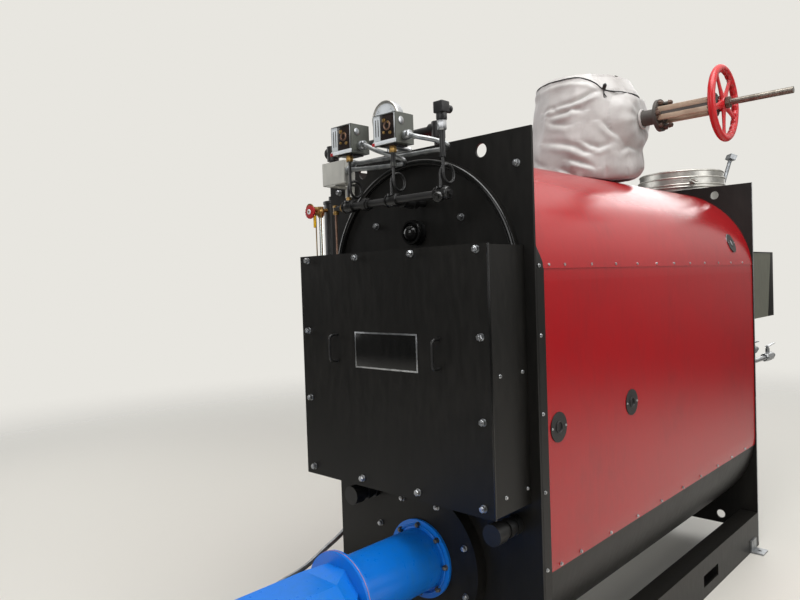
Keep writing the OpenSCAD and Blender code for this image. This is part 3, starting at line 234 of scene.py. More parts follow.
def make_finishes(paints):
    """Every finish of the boiler by its name."""
    return {
        "red enamel": painted("baked_red_enamel", paints.jacket, "8B1419", 0.2, 0.0012, 0.45, 0.0012),
        "black paint": painted("satin_black_paint", paints.plates, "1F1D1A", 0.4, 0.001, 0.3, 0.0004, 0.28),
        "blue paint": painted("gloss_blue_paint", paints.burner, "1C6FBE", 0.28, 0.001),
        "grey paint": painted("textured_grey_paint", paints.enclosures, "7E8284", 0.48, 0.0012),
        "bronze paint": painted("satin_bronze_paint", "5B534B", "6A6259", 0.4),
        "wheel paint": painted("gloss_red_paint", paints.wheel, "8E1418", 0.3, 0.002),
        "control grey": painted("hammered_grey_paint", "54564F", "45463F", 0.42, 0.002),
        "box grey": painted("pale_box_paint", "B3B1A8", "9E9C94", 0.5),
        "smoke grey": painted("heat_grey_paint", "5C5C50", "54544A", 0.5),
        "pale panel": painted("pale_panel_paint", "C9CDCE", "B4B8B8", 0.4),
        "black gloss": painted("gloss_black_enamel", "0F0F0E", "181716", 0.16, 0.0015, shine=0.4),
        "black gloss iron": cast("gloss_black_malleable_iron", "0F0F0F", "1A1918", 0.3),
        "brown steel": cast("oiled_brown_steel", "8C7763", "A89580", 0.5),
        "rusty steel": cast("rusted_steel", "4A3328", "5E4A3C", 0.6),
        "smoked": moulded("smoked_window", "1E1917", "2C2421", 0.16),
        "conduit zinc": bare_metal("zinc_conduit", "B4B6B6", "7C7F80", 0.46),
        "zinc": bare_metal("bright_zinc_plate", "CFD1D3", "9A9C9E", 0.3),
        "dull zinc": bare_metal("galvanised_steel", "B2B5B7", "84878A", 0.42, size=0.01),
        "stainless": bare_metal("rolled_stainless", "D2D0C9", "B8B6B0", 0.38, (1, 1, 12)),
        "turned steel": bare_metal("turned_steel", "918C83", "655F57", 0.34, (14, 1, 1)),
        "brass": bare_metal("dull_brass", "AE8D56", "7D6238", 0.4),
        "copper": bare_metal("tarnished_copper", "9C7F6E", "6E5345", 0.42),
        "black iron": cast("black_cast_iron", "131313", "201F1E", 0.45),
        "weathered iron": cast("weathered_iron", "3A3632", "4C4741", 0.6),
        "die cast": cast("die_cast_aluminium_paint", "8B8E8F", "74777A", 0.45),
        "cloth": coated_cloth("coated_glass_cloth", paints.cloth, "96918D"),
        "black plastic": moulded("black_moulded_plastic", "191919", "242424", 0.45),
        "white plastic": moulded("white_moulded_plastic", "D8DBDC", "C6C9CA", 0.4),
        "cream plastic": moulded("cream_moulded_plastic", "D6CFA9", "C2BB98", 0.45),
        "green plastic": moulded("green_moulded_plastic", "1E4A41", "18392F", 0.45),
        "grey plastic": moulded("grey_moulded_plastic", "54585A", "626668", 0.45),
        "yellow plastic": moulded("yellow_vinyl", "E5B50C", "C99A0A", 0.4),
        "red plastic": moulded("red_moulded_plastic", "B01C1E", "8E1517", 0.4),
        "label yellow": moulded("yellow_label_film", "E8E21A", "D6CF16", 0.35),
        "rubber": moulded("black_rubber", "161616", "202020", 0.65),
        "gasket": moulded("pink_gasket_edge", "B08AA8", "94728E", 0.7),
        "glass": clear_glass("clear_glass"),
    }


NODE_FINISHES = {
    "red enamel": ["crown_jacket", "left_jacket", "right_jacket"],
    "black paint": ["vessel_shell", "front_plate", "rear_plate", "left_rail", "right_rail",
                    "corner_strips", "flue_door", "cover_box", "cover_panel", "burner_plate",
                    "side_channels"],
    "smoke grey": ["smoke_box"],
    "blue paint": ["blast_tube", "burner_housing", "drum_cover"],
    "bronze paint": ["inlet_drum"],
    "grey paint": ["panel_box", "panel_door"],
    "pale panel": ["feed_controller"],
    "dull zinc": ["foot_clips", "flue_probe", "rear_valve", "control_conduits", "panel_conduits"],
    "stainless": ["flue_collar"],
    "turned steel": ["valve_stem"],
    "brass": ["gauge_valves", "brass_valves"],
    "black iron": ["port_covers", "sight_port", "cover_handles", "inspection_stubs",
                   "control_manifold", "siphon_loops", "steam_nozzle", "water_column",
                   "column_piping", "low_water_cutoff", "gas_piping"],
    "weathered iron": ["steam_valve"],
    "die cast": ["gas_block", "fan_motor"],
    "wheel paint": ["handwheel"],
    "cloth": ["valve_wrap"],
    "grey plastic": ["air_servo", "gas_actuator"],
    "control grey": ["pressure_controls"],
    "box grey": ["terminal_boxes"],
    "zinc": ["pressure_gauge"],
    "black plastic": ["disconnect_knob", "pressure_sensor"],
    "green plastic": ["alarm_horn"],
    "yellow plastic": ["blowdown_lever", "gas_cock_lever", "hand_valve_lever"],
    "glass": ["gauge_glass"],
}

FINISHES = {}


def clear_selection():
    """Leaves nothing selected, so that the next operator acts on its own piece alone."""
    if bpy.context.object and bpy.context.object.mode != "OBJECT":
        bpy.ops.object.mode_set(mode="OBJECT")
    bpy.ops.object.select_all(action="DESELECT")


def pick(*pieces):
    """Selects these pieces alone, the first one active."""
    clear_selection()
    for piece in pieces:
        piece.select_set(True)
    bpy.context.view_layer.objects.active = pieces[0]


def added(name):
    """The primitive that an operator has just added, named."""
    made = bpy.context.object
    made.name = name
    return made


def settle(piece, turn=None):
    """Turns or moves a piece and puts its place into its mesh."""
    pick(piece)
    if turn is not None:
        piece.matrix_world = turn @ piece.matrix_world
    bpy.ops.object.transform_apply(location=True, rotation=True, scale=True)
    return piece


def facing(point, normal, spin=0.0):
    """Matrix that stands a piece made along +Z at a point, along a normal."""
    turn = UP.rotation_difference(Vector(normal).normalized()).to_matrix().to_4x4()
    return Matrix.Translation(Vector(point)) @ turn @ Matrix.Rotation(spin, 4, "Z")


def join(parts, name):
    """Joins parts into the first one."""
    pick(*parts)
    if len(parts) > 1:
        bpy.ops.object.join()
    parts[0].name = name
    return parts[0]


def stamped(source, places, name):
    """One mesh of copies of a source piece, one at each place."""
    copies = []
    for place in places:
        copy = bpy.data.objects.new(name, source.data.copy())
        bpy.context.scene.collection.objects.link(copy)
        copy.data.transform(place)
        copies.append(copy)
    made = join(copies, name)
    bpy.data.objects.remove(source)
    made.name = name
    return made


def coat(piece, finish, angle=35):
    """Gives a piece its finish, with edges sharper than the angle kept sharp."""
    piece.data.materials.clear()
    piece.data.materials.append(FINISHES[finish])
    pick(piece)
    bpy.ops.object.shade_smooth_by_angle(angle=math.radians(angle))
    return piece


def mount(piece, body="boiler", replaces=()):
    """Lets a finished piece ride on a body, and stand for CAD nodes if it replaces them."""
    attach(piece, body)
    if replaces:
        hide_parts(*replaces)
    return piece


def complete(parts, name, finish, angle=40, body="boiler", replaces=()):
    """Joins parts into one piece, coats it and mounts it."""
    return mount(coat(join(parts, name), finish, angle), body, replaces)


def fasteners(source, places, name, finish):
    """One mounted piece of copies of a fastener, one at each place."""
    return mount(coat(stamped(source, places, name), finish))


def turned(name, profile, sides=24):
    """A piece turned round +Z: a disc is added, then extruded and scaled along its (radius, height) profile."""
    clear_selection()
    radius, height = profile[0]
    bpy.ops.mesh.primitive_circle_add(vertices=sides, radius=radius, fill_type="NGON", location=(0, 0, height))
    made = added(name)
    settle(made)
    bpy.ops.object.mode_set(mode="EDIT")
    bpy.ops.mesh.select_all(action="SELECT")
    for next_radius, next_height in profile[1:]:
        bpy.ops.mesh.extrude_region_move(TRANSFORM_OT_translate={"value": (0, 0, next_height - height)})
        share = next_radius / radius
        bpy.ops.transform.resize(value=(share, share, 1), center_override=(0, 0, next_height))
        radius, height = next_radius, next_height
    bpy.ops.mesh.select_all(action="SELECT")
    bpy.ops.mesh.normals_make_consistent(inside=False)
    bpy.ops.object.mode_set(mode="OBJECT")
    return made


def block(name, low, high, soft=0.002, steps=2):
    """A box between two corners with its edges bevelled."""
    clear_selection()
    low, high = Vector(low), Vector(high)
    bpy.ops.mesh.primitive_cube_add(size=1, location=(low + high) / 2)
    made = added(name)
    made.scale = high - low
    settle(made)
    if soft:
        bpy.ops.object.mode_set(mode="EDIT")
        bpy.ops.mesh.select_all(action="SELECT")
        bpy.ops.mesh.bevel(offset=soft, segments=steps, affect="EDGES")
        bpy.ops.object.mode_set(mode="OBJECT")
    return made


def swept(name, radius, sides):
    """An empty round curve and its object, to be swept along points."""
    data = bpy.data.curves.new(name, "CURVE")
    data.dimensions = "3D"
    data.bevel_depth = radius
    data.bevel_resolution = sides
    data.use_fill_caps = True
    piece = bpy.data.objects.new(name, data)
    bpy.context.scene.collection.objects.link(piece)
    return data, piece


def as_mesh(piece):
    """Turns a curve into a mesh."""
    pick(piece)
    bpy.ops.object.convert(target="MESH")
    return piece


def tube(name, points, radius, sides=2, cyclic=False):
    """A round tube along a smooth line through points."""
    data, piece = swept(name, radius, sides)
    spline = data.splines.new("BEZIER")
    spline.bezier_points.add(len(points) - 1)
    for bead, point in zip(spline.bezier_points, points):
        bead.co = point
        bead.handle_left_type = "AUTO"
        bead.handle_right_type = "AUTO"
    spline.resolution_u = 8
    spline.use_cyclic_u = cyclic
    return as_mesh(piece)


def rod(name, start, end, radius):
    """A straight round rod between two points."""
    data, piece = swept(name, radius, 3)
    spline = data.splines.new("POLY")
    spline.points.add(1)
    for bead, point in zip(spline.points, (start, end)):
        bead.co = (*point, 1)
    return as_mesh(piece)


def stand(piece, point, normal, spin=0.0):
    """Stands a piece made along +Z at a point, along a normal."""
    return settle(piece, facing(point, normal, spin))


def raised(piece, x, y, z):
    """Moves a piece made upright at the origin to its place."""
    return settle(piece, Matrix.Translation((x, y, z)))


def reshape(piece, move):
    """Moves each point of a piece by a rule."""
    for vertex in piece.data.vertices:
        vertex.co = move(vertex.co.copy())
    piece.data.update()
    return piece


def torus(name, major, minor, around=96, across=16):
    """A ring round +Z."""
    clear_selection()
    bpy.ops.mesh.primitive_torus_add(major_radius=major, minor_radius=minor, major_segments=around,
                                     minor_segments=across)
    return added(name)


def live(piece, kind, **settings):
    """Adds a modifier, sets it and applies it."""
    pick(piece)
    made = piece.modifiers.new(kind.lower(), kind)
    for key, value in settings.items():
        setattr(made, key, value)
    bpy.ops.object.modifier_apply(modifier=made.name)
    return piece


def resampled(points, step):
    """Points at even steps along a smooth line through the given ones."""
    points = [Vector(p) for p in points]
    ends = [2 * points[0] - points[1], *points, 2 * points[-1] - points[-2]]
    fine, pieces = [], 24
    for i in range(1, len(ends) - 2):
        a, b, c, d = ends[i - 1:i + 3]
        for k in range(pieces):
            t = k / pieces
            fine.append(0.5 * (2 * b + (c - a) * t + (2 * a - 5 * b + 4 * c - d) * t * t
                               + (3 * b - 3 * c + d - a) * t ** 3))
    fine.append(points[-1])
    out, left = [fine[0]], step
    for a, b in zip(fine, fine[1:]):
        span = (b - a).length
        while left <= span:
            out.append(a.lerp(b, left / span))
            left += step
        left -= span
    return out


def ribbed(name, points, radius, pitch, deep=0.1, sides=2):
    """Flexible metal conduit: a tube whose wall steps in and out along its length."""
    path = resampled(points, pitch / 2)
    data, piece = swept(name, radius, sides)
    spline = data.splines.new("POLY")
    spline.points.add(len(path) - 1)
    for i, (bead, point) in enumerate(zip(spline.points, path)):
        bead.co = (*point, 1)
        bead.radius = 1.0 if i % 2 else 1.0 - deep
    return as_mesh(piece)


def hex_bolt(width):
    """Hexagon head bolt on its washer, its head's corners turned off, standing on the origin along +Z."""
    low = width * 0.12
    corner = width / math.sqrt(3)
    parts = [
        turned("washer", [(width * 0.62, 0), (width * 0.66, low * 0.4), (width * 0.64, low), (width * 0.5, low)], 20),
        turned("head", [(corner, low), (corner, low + width * 0.5), (corner * 0.84, low + width * 0.62)], 6),
        turned("shank", [(width * 0.3, low + width * 0.6), (width * 0.3, low + width * 0.72),
                         (width * 0.24, low + width * 0.78)], 12),
    ]
    return join(parts, "hex_bolt")


def sheet_screw(width):
    """Self-drilling screw with a flanged hexagon head."""
    parts = [
        turned("flange", [(width * 0.72, 0), (width * 0.72, width * 0.08), (width * 0.52, width * 0.2)], 16),
        turned("head", [(width * 0.56, width * 0.15), (width * 0.56, width * 0.5), (width * 0.44, width * 0.58)], 6),
    ]
    return join(parts, "sheet_screw")


def ring_places(centre, normal, radius, count, start=0.0):
    """Places round a circle, each facing along the circle's normal."""
    base = facing(centre, normal)
    places = []
    for k in range(count):
        angle = start + 2 * math.pi * k / count
        offset = Matrix.Translation((radius * math.cos(angle), radius * math.sin(angle), 0))
        places.append(base @ offset @ Matrix.Rotation(angle * 1.7, 4, "Z"))
    return places


class BOILER_OT_finishes(bpy.types.Operator):
    """Makes the finishes and gives each construction node its own"""

    bl_idname = "boiler.finishes"
    bl_label = "Finishes"

    def execute(self, context):
        FINISHES.update(make_finishes(context.scene.boiler_paints))
        for finish, names in NODE_FINISHES.items():
            for name in names:
                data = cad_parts[name].data
                data.materials.clear()
                data.materials.append(FINISHES[finish])
        return {"FINISHED"}


# Heights and distances from the middle of the front cover's bolts, rows first and then sides
COVER_ROWS = ((1.615, 0.826), (0.402, 0.134))
COVER_SIDES = ((1.349, 1.091), 0.41)


class BOILER_OT_cover_bolts(bpy.types.Operator):
    """Bolts of the front cover and the flue door"""

    bl_idname = "boiler.cover_bolts"
    bl_label = "Cover and door bolts"

    def execute(self, context):
        width = context.scene.boiler_sizes.cover_bolt
        heights, (outer, near) = COVER_ROWS
        places = [facing((x, COVER_Y, z), FRONT, x * 9 + z) for z in heights for x in (-outer, -near, near, outer)]
        heights, side_x = COVER_SIDES
        places += [facing((x, COVER_Y, z), FRONT, x * 5 + z) for z in heights for x in (-side_x, side_x)]
        fasteners(hex_bolt(width), places, "cover_bolts", "zinc")
        door_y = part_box("flue_door")[0].y + 0.008
        places = [facing((x, door_y, 1.737), FRONT, x * 7) for x in (-0.205, 0.205)]
        places += [facing((x, FRONT_Y, 1.89), FRONT, x * 3) for x in (-0.425, 0.425)]
        fasteners(hex_bolt(width), places, "door_bolts", "zinc")
        return {"FINISHED"}


# Heights of the corner strips' screws, then places of the jacket's screws behind the front plate
STRIP_SCREWS = (1.561, 1.339, 1.088, 0.836, 0.585)
CROWN_SCREWS = (0.093, 0.193, 0.379, 0.566, 0.75, 0.934, 1.115, 1.297, 1.476, 1.662, 1.844, 2.025)
JACKET_SCREWS = (0.12, 0.252, 0.474, 0.7, 0.927, 1.158, 1.372, 1.596, 1.8, 2.007)
# Height of the crown's centre, its screws' height above that, and the height of the jacket's lowest screws
CROWN_CENTRE, CROWN_LIFT, JACKET_FOOT = 1.51, 0.0535, 0.574


class BOILER_OT_sheet_screws(bpy.types.Operator):
    """Screws of the jacket, the corner strips and the cover's sides"""

    bl_idname = "boiler.sheet_screws"
    bl_label = "Sheet screws"

    def execute(self, context):
        width = context.scene.boiler_sizes.sheet_screw
        strip_x, jacket_x, crown, cover_x = (
            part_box(name)[1].x for name in ("corner_strips", "right_jacket", "crown_jacket", "cover_box"))
        crown_x = math.sqrt(crown ** 2 - CROWN_LIFT ** 2)
        places = []
        for side in (-1, 1):
            out = RIGHT * side
            for z in STRIP_SCREWS:
                places.append(facing((strip_x * side, FRONT_Y + 0.024, z), out, z * 9))
            for away in CROWN_SCREWS:
                at = (crown_x * side, FRONT_Y + away, CROWN_CENTRE + CROWN_LIFT)
                places.append(facing(at, (crown_x * side, 0, CROWN_LIFT), away))
            for away in JACKET_SCREWS:
                places.append(facing((jacket_x * side, FRONT_Y + away, JACKET_FOOT), out, away))
            for z, back in ((1.227, 0.149), (1.227, 0.028), (0.852, 0.135), (0.852, 0.016)):
                places.append(facing((cover_x * side, FRONT_Y - back, z), out, z))
        fasteners(sheet_screw(width), places, "sheet_screws", "zinc")
        return {"FINISHED"}


class BOILER_OT_burner_bolts(bpy.types.Operator):
    """Studs of the burner plate and bolts of the blast tube's flanges"""

    bl_idname = "boiler.burner_bolts"
    bl_label = "Burner bolts"

    def execute(self, context):
        width = context.scene.boiler_sizes.flange_bolt
        plate_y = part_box("burner_plate")[0].y
        tube_low, tube_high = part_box("blast_tube")
        eighth = math.pi / 8
        for name, finish, y, way, radius, start, size in (
                ("burner_plate_bolts", "zinc", plate_y, FRONT, 0.218, eighth, width),
                ("tube_flange_bolts", "turned steel", tube_high.y - 0.01, FRONT, 0.1227, 0.0, width),
                ("middle_flange_bolts", "zinc", tube_low.y + 0.01, -FRONT, 0.119, eighth, width * 0.8)):
            places = ring_places((0, y, BURNER_Z), way, radius, 8, start)
            fasteners(hex_bolt(size), places, name, finish)
        return {"FINISHED"}


# Folds of the jacket's front: places as degrees round the valve and heights, then depth and width in metres
# The front, which has these folds and no others, runs from FOLDS_FROM to FOLDS_TO radians round the valve
FOLDS_FROM, FOLDS_TO = -2.6, 0.2
JACKET_FOLDS = [
    ([(-47, 2.388), (-56, 2.387), (-64, 2.371), (-72, 2.356), (-81, 2.344), (-91, 2.34), (-99, 2.337)], 0.02, 0.011),
    ([(-104, 2.295), (-95, 2.299), (-86, 2.304), (-80, 2.315), (-69, 2.301)], 0.017, 0.012),
    ([(-112, 2.325), (-104, 2.332), (-97, 2.324)], 0.01, 0.009),
    ([(-108, 2.173), (-90, 2.154), (-77, 2.133), (-68, 2.107), (-60, 2.1)], 0.018, 0.013),
    ([(-70, 2.158), (-61, 2.133), (-53, 2.122), (-40, 2.14)], 0.013, 0.011),
    ([(-84, 2.075), (-76, 2.064), (-67, 2.048), (-57, 2.028)], 0.016, 0.01),
    ([(-94, 2.038), (-86, 2.02), (-78, 1.998)], 0.015, 0.01),
    ([(-110, 2.284), (-99, 2.256), (-87, 2.24), (-78, 2.243)], 0.008, 0.012),
    ([(-125, 2.1), (-117, 2.07), (-106, 2.05)], 0.01, 0.012),
    ([(-50, 2.25), (-38, 2.2), (-24, 2.18)], 0.014, 0.014),
    ([(-120, 2.44), (-100, 2.452), (-80, 2.452), (-62, 2.435), (-50, 2.4)], 0.006, 0.008),
    ([(-30, 2.1), (-18, 2.13), (-5, 2.12)], 0.012, 0.012),
]


class BOILER_OT_valve_jacket(bpy.types.Operator):
    """Padded cloth jacket tied round the steam valve"""

    bl_idname = "boiler.valve_jacket"
    bl_label = "Valve jacket"

    def execute(self, context):
        low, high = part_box("valve_wrap")
        centre = (low + high) / 2
        wide, inner = (high.x - low.x) / 2 - 0.012, 0.167
        z0, z1 = low.z - 0.024, high.z - 0.01
        profile = [(inner, centre.z - 0.01), (inner, z0 + 0.03), (inner + 0.012, z0 + 0.006), (wide - 0.085, z0),
                   (wide - 0.03, z0 + 0.018), (wide - 0.006, z0 + 0.06), (wide, z0 + 0.13), (wide, z0 + 0.24),
                   (wide - 0.004, z1 - 0.14), (wide - 0.02, z1 - 0.06), (wide - 0.05, z1 - 0.018),
                   (wide - 0.075, z1), (inner + 0.012, z1 - 0.006), (inner, z1 - 0.03), (inner, centre.z + 0.01)]
        jacket = turned("valve_jacket", profile, 96)
        settle(jacket, Matrix.Translation((centre.x, centre.y, 0)))

        def eased(share):
            """A share from 0 to 1 that starts and stops softly."""
            share = min(1.0, max(0.0, share))
            return share * share * (3 - 2 * share)

        def crease(turn, z):
            """Depth of the folds at a place on the round wall: each fades at its ends and the cloth swells below it."""
            deep = 0.0
            for points, depth, width in JACKET_FOLDS:
                near, above, along = 1.0, 1.0, 0.0
                for step, ((a0, b0), (a1, b1)) in enumerate(zip(points, points[1:])):
                    ax, bx = math.radians(a0) * wide, math.radians(a1) * wide
                    run, rise = bx - ax, b1 - b0
                    share = ((turn * wide - ax) * run + (z - b0) * rise) / (run * run + rise * rise)
                    share = min(1.0, max(0.0, share))
                    gap = math.hypot(turn * wide - ax - share * run, z - b0 - share * rise)
                    if gap < near:
                        near, above, along = gap, z - b0 - share * rise, (step + share) / (len(points) - 1)
                fade = math.sin(math.pi * min(0.97, max(0.03, along))) ** 0.7
                if above > 0:
                    deep += depth * fade * 0.75 * math.exp(-(near / (1.5 * width)) ** 2)
                else:
                    deep += depth * fade * (0.75 * math.exp(-(near / (0.7 * width)) ** 2)
                                            - 0.45 * math.exp(-((near - 2.0 * width) / (1.3 * width)) ** 2)
                                            * min(1.0, near / width))
            return deep

        def creased(co):
            """Leans, lowers and ripples the wall as the tied cloth hangs."""
            arm = Vector((co.x - centre.x, co.y - centre.y, 0))
            if arm.length < inner + 0.01:
                return co
            turn = math.atan2(arm.y, arm.x)
            high_share = (co.z - z0) / (z1 - z0)
            slow = noise.noise(Vector((math.cos(turn) * 1.1, math.sin(turn) * 1.1, co.z * 3.1)))
            fold = noise.noise(Vector((math.cos(turn) * 1.9, math.sin(turn) * 1.9, co.z * 9.0 + turn * 1.3)))
            out = 0.012 * slow - 0.01 * max(0.0, 0.3 - abs(fold)) / 0.3
            if FOLDS_FROM < turn < FOLDS_TO:
                out = 0.006 * slow
            side = math.cos(turn - math.radians(44))
            swell = 0.014 + 0.03 * (1 - high_share) + 0.035 * eased((high_share - 0.8) / 0.2)
            out += max(0.0, -side) * swell
            fall = eased((high_share - 0.5) / 0.5)
            lean = side * arm.length / wide
            co.z += 0.01 * slow * math.sin(math.pi * high_share) - 0.105 * fall * eased((lean + 0.3) / 0.85)
            co.z -= 0.03 * (1 - eased(high_share / 0.35)) * max(0.0, math.cos(turn + math.radians(66)))
            arm.normalize()
            return co + arm * out

        def over_bonnet(co):
            """Draws the cloth over the bonnet and the top flange, and keeps it off the crown."""
            off = math.hypot(co.y - VALVE_AXIS.y, co.z - VALVE_AXIS.z)
            if co.x > 0.12 and off < 0.17:
                outside = math.hypot(co.x - centre.x, co.y - centre.y) > inner + 0.045
                turn = math.atan2(co.z - VALVE_AXIS.z, co.y - VALVE_AXIS.y)
                reach = (0.236 if outside else 0.222) - 11 * max(0.0, off - 0.09) ** 2
                reach -= 0.0022 * math.sin(9 * turn + 1.3 * math.sin(2 * turn)) * eased((off - 0.035) / 0.06)
                ease = 0.02 if outside else 0.004
                co.x = (co.x + reach + math.hypot(co.x - reach, ease * eased((0.17 - off) / 0.03))) / 2
            rim = math.hypot(co.x, co.y - VALVE_AXIS.y)
            if co.z > 2.3 and rim < 0.21:
                co.z = max(co.z, 2.469 - max(0.0, rim - 0.172) * 1.8)
            co.z = max(co.z, crown_z + math.sqrt(crown_r ** 2 - co.x ** 2) + 0.005)
            return co

        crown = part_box("crown_jacket")[1]
        crown_r, crown_z = crown.x, crown.z - crown.x
        live(jacket, "REMESH", mode="VOXEL", voxel_size=0.009)
        reshape(jacket, creased)
        start = [v.co.copy() for v in jacket.data.vertices]
        held = jacket.vertex_groups.new(name="held")
        for v in jacket.data.vertices:
            arm = math.hypot(v.co.x - centre.x, v.co.y - centre.y)
            if arm < inner + 0.02:
                held.add([v.index], 1.0, "REPLACE")
        cloth = jacket.modifiers.new("cloth", "CLOTH")
        for key, value in (("quality", 6), ("mass", 0.4), ("tension_stiffness", 25), ("compression_stiffness", 12),
                           ("shear_stiffness", 8), ("bending_stiffness", 2.5), ("vertex_group_mass", "held"),
                           ("use_pressure", True), ("uniform_pressure_force", 2.0), ("shrink_min", -0.07)):
            setattr(cloth.settings, key, value)
        cloth.settings.effector_weights.gravity = 0.25
        cloth.collision_settings.use_collision = False
        for step in range(1, 19):
            context.scene.frame_set(step)
        pick(jacket)
        bpy.ops.object.modifier_apply(modifier="cloth")
        context.scene.frame_set(1)
        furthest = 0.02
        for v, was in zip(jacket.data.vertices, start):
            away = v.co - was
            if away.length > furthest:
                v.co = was + away * (furthest / away.length)
        jacket.vertex_groups.clear()
        inside_low, inside_high = low + Vector((-0.008, 0.002, -0.08)), high - Vector((0.002,) * 3)
        reshape(jacket, lambda co: Vector(min(max(c, a), b) for c, a, b in zip(co, inside_low, inside_high)))
        live(jacket, "SMOOTH", factor=0.5, iterations=2)
        live(jacket, "SUBSURF", levels=1, render_levels=1)

        def folded(co):
            """Presses the folds into the front."""
            arm = Vector((co.x - centre.x, co.y - centre.y, 0))
            turn = math.atan2(arm.y, arm.x)
            if arm.length < inner + 0.03 or not FOLDS_FROM < turn < FOLDS_TO:
                return co
            return co - arm.normalized() * crease(turn, co.z)

        reshape(jacket, folded)
        reshape(jacket, over_bonnet)
        clear_selection()
        # An open mouth round the stem, inside the bonnet's neck
        bpy.ops.mesh.primitive_cylinder_add(vertices=32, radius=0.026, depth=0.32, rotation=(0, math.pi / 2, 0),
                                            location=(0.2, VALVE_AXIS.y, VALVE_AXIS.z))
        mouth = added("mouth")
        live(jacket, "BOOLEAN", operation="DIFFERENCE", object=mouth, solver="EXACT")
        bpy.data.objects.remove(mouth)
        coat(jacket, "cloth", 180)
        mount(jacket, replaces=("valve_wrap",))

        def on_jacket(turn, z, off=0.0015):
            """The place on the cloth that a ray from outside meets, at degrees round the valve and a height."""
            way = Vector((math.cos(math.radians(turn)), math.sin(math.radians(turn)), 0))
            middle = Vector((centre.x, centre.y, z))
            found, place, normal, _ = jacket.ray_cast(middle + way * 0.6, -way)
            return place + normal * off if found else middle + way * wide

        line = [(-125, 2.462), (-110, 2.465), (-99, 2.466), (-87, 2.467), (-75, 2.466), (-63, 2.45), (-54, 2.428),
                (-47, 2.403), (-38, 2.39), (-20, 2.382), (10, 2.378), (45, 2.355), (80, 2.35), (115, 2.372),
                (150, 2.42), (190, 2.455), (215, 2.46)]
        string = tube("string", resampled([on_jacket(*p) for p in line], 0.02), 0.0028, cyclic=True)
        tie = on_jacket(-45, 2.398, 0.004)
        toggle = turned("toggle", [(0.003, 0), (0.009, 0.006), (0.009, 0.024), (0.004, 0.03)], 12)
        stand(toggle, tie, (0.5, -0.5, 0.6))
        tails = []
        for s in (-1, 1):
            drop = [Vector((0.004, -0.008, -0.018)), Vector((0.008 + 0.006 * s, -0.004, -0.05 + 0.01 * s))]
            tails.append(tube("tail", [tie, tie + drop[0], tie + drop[1]], 0.0022))
        complete([string, toggle, *tails], "jacket_drawstring", "black plastic", 60)
        cord = stand(torus("cord", 0.041, 0.006, 48, 10), (high.x - 0.002, VALVE_AXIS.y, VALVE_AXIS.z), RIGHT)
        complete([cord], "jacket_mouth_cord", "cloth", 60)
        return {"FINISHED"}


class BOILER_OT_valve_trim(bpy.types.Operator):
    """Bolts of the steam valve's flanges, bonnet and gland"""

    bl_idname = "boiler.valve_trim"
    bl_label = "Valve trim"

    def execute(self, context):
        low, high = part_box("steam_valve")
        y, z = VALVE_AXIS.y, VALVE_AXIS.z
        circle, flange = 0.135, 0.036
        places = []
        for k in range(12):
            turn = math.radians(15 + 30 * k)
            at = (circle * math.cos(turn), y + circle * math.sin(turn))
            places.append(facing((*at, high.z), UP, k))
            places.append(facing((*at, high.z - flange), -UP, k * 2))
            places.append(facing((*at, low.z - flange), -UP, k * 3))
        fasteners(hex_bolt(0.026), places, "valve_flange_bolts", "weathered iron")
        places = ring_places((0.34, y, z), RIGHT, 0.06, 6, 0.5)
        places += [facing((0.374, y, z + s * 0.052), RIGHT, s) for s in (-1, 1)]
        fasteners(hex_bolt(0.02), places, "gland_bolts", "rusty steel")
        places = [facing((x, y + s * 0.052, z + t * 0.017), (0, s, 0), x) for x in (0.338, 0.572)
                  for s in (-1, 1) for t in (-1, 1)]
        fasteners(hex_bolt(0.014), places, "yoke_bolts", "rusty steel")
        half = Vector((0, 0.0082, 0.0125))
        skins = []
        for s in (-1, 1):
            for t in (-0.0185, 0.0185):
                near, far = (Vector((x, y + s * 0.045, z + t)) for x in (0.3405, 0.5735))
                skins.append(block("skin", near - half, far + half, 0.003))
        complete(skins, "yoke_arms", "brown steel")
        return {"FINISHED"}


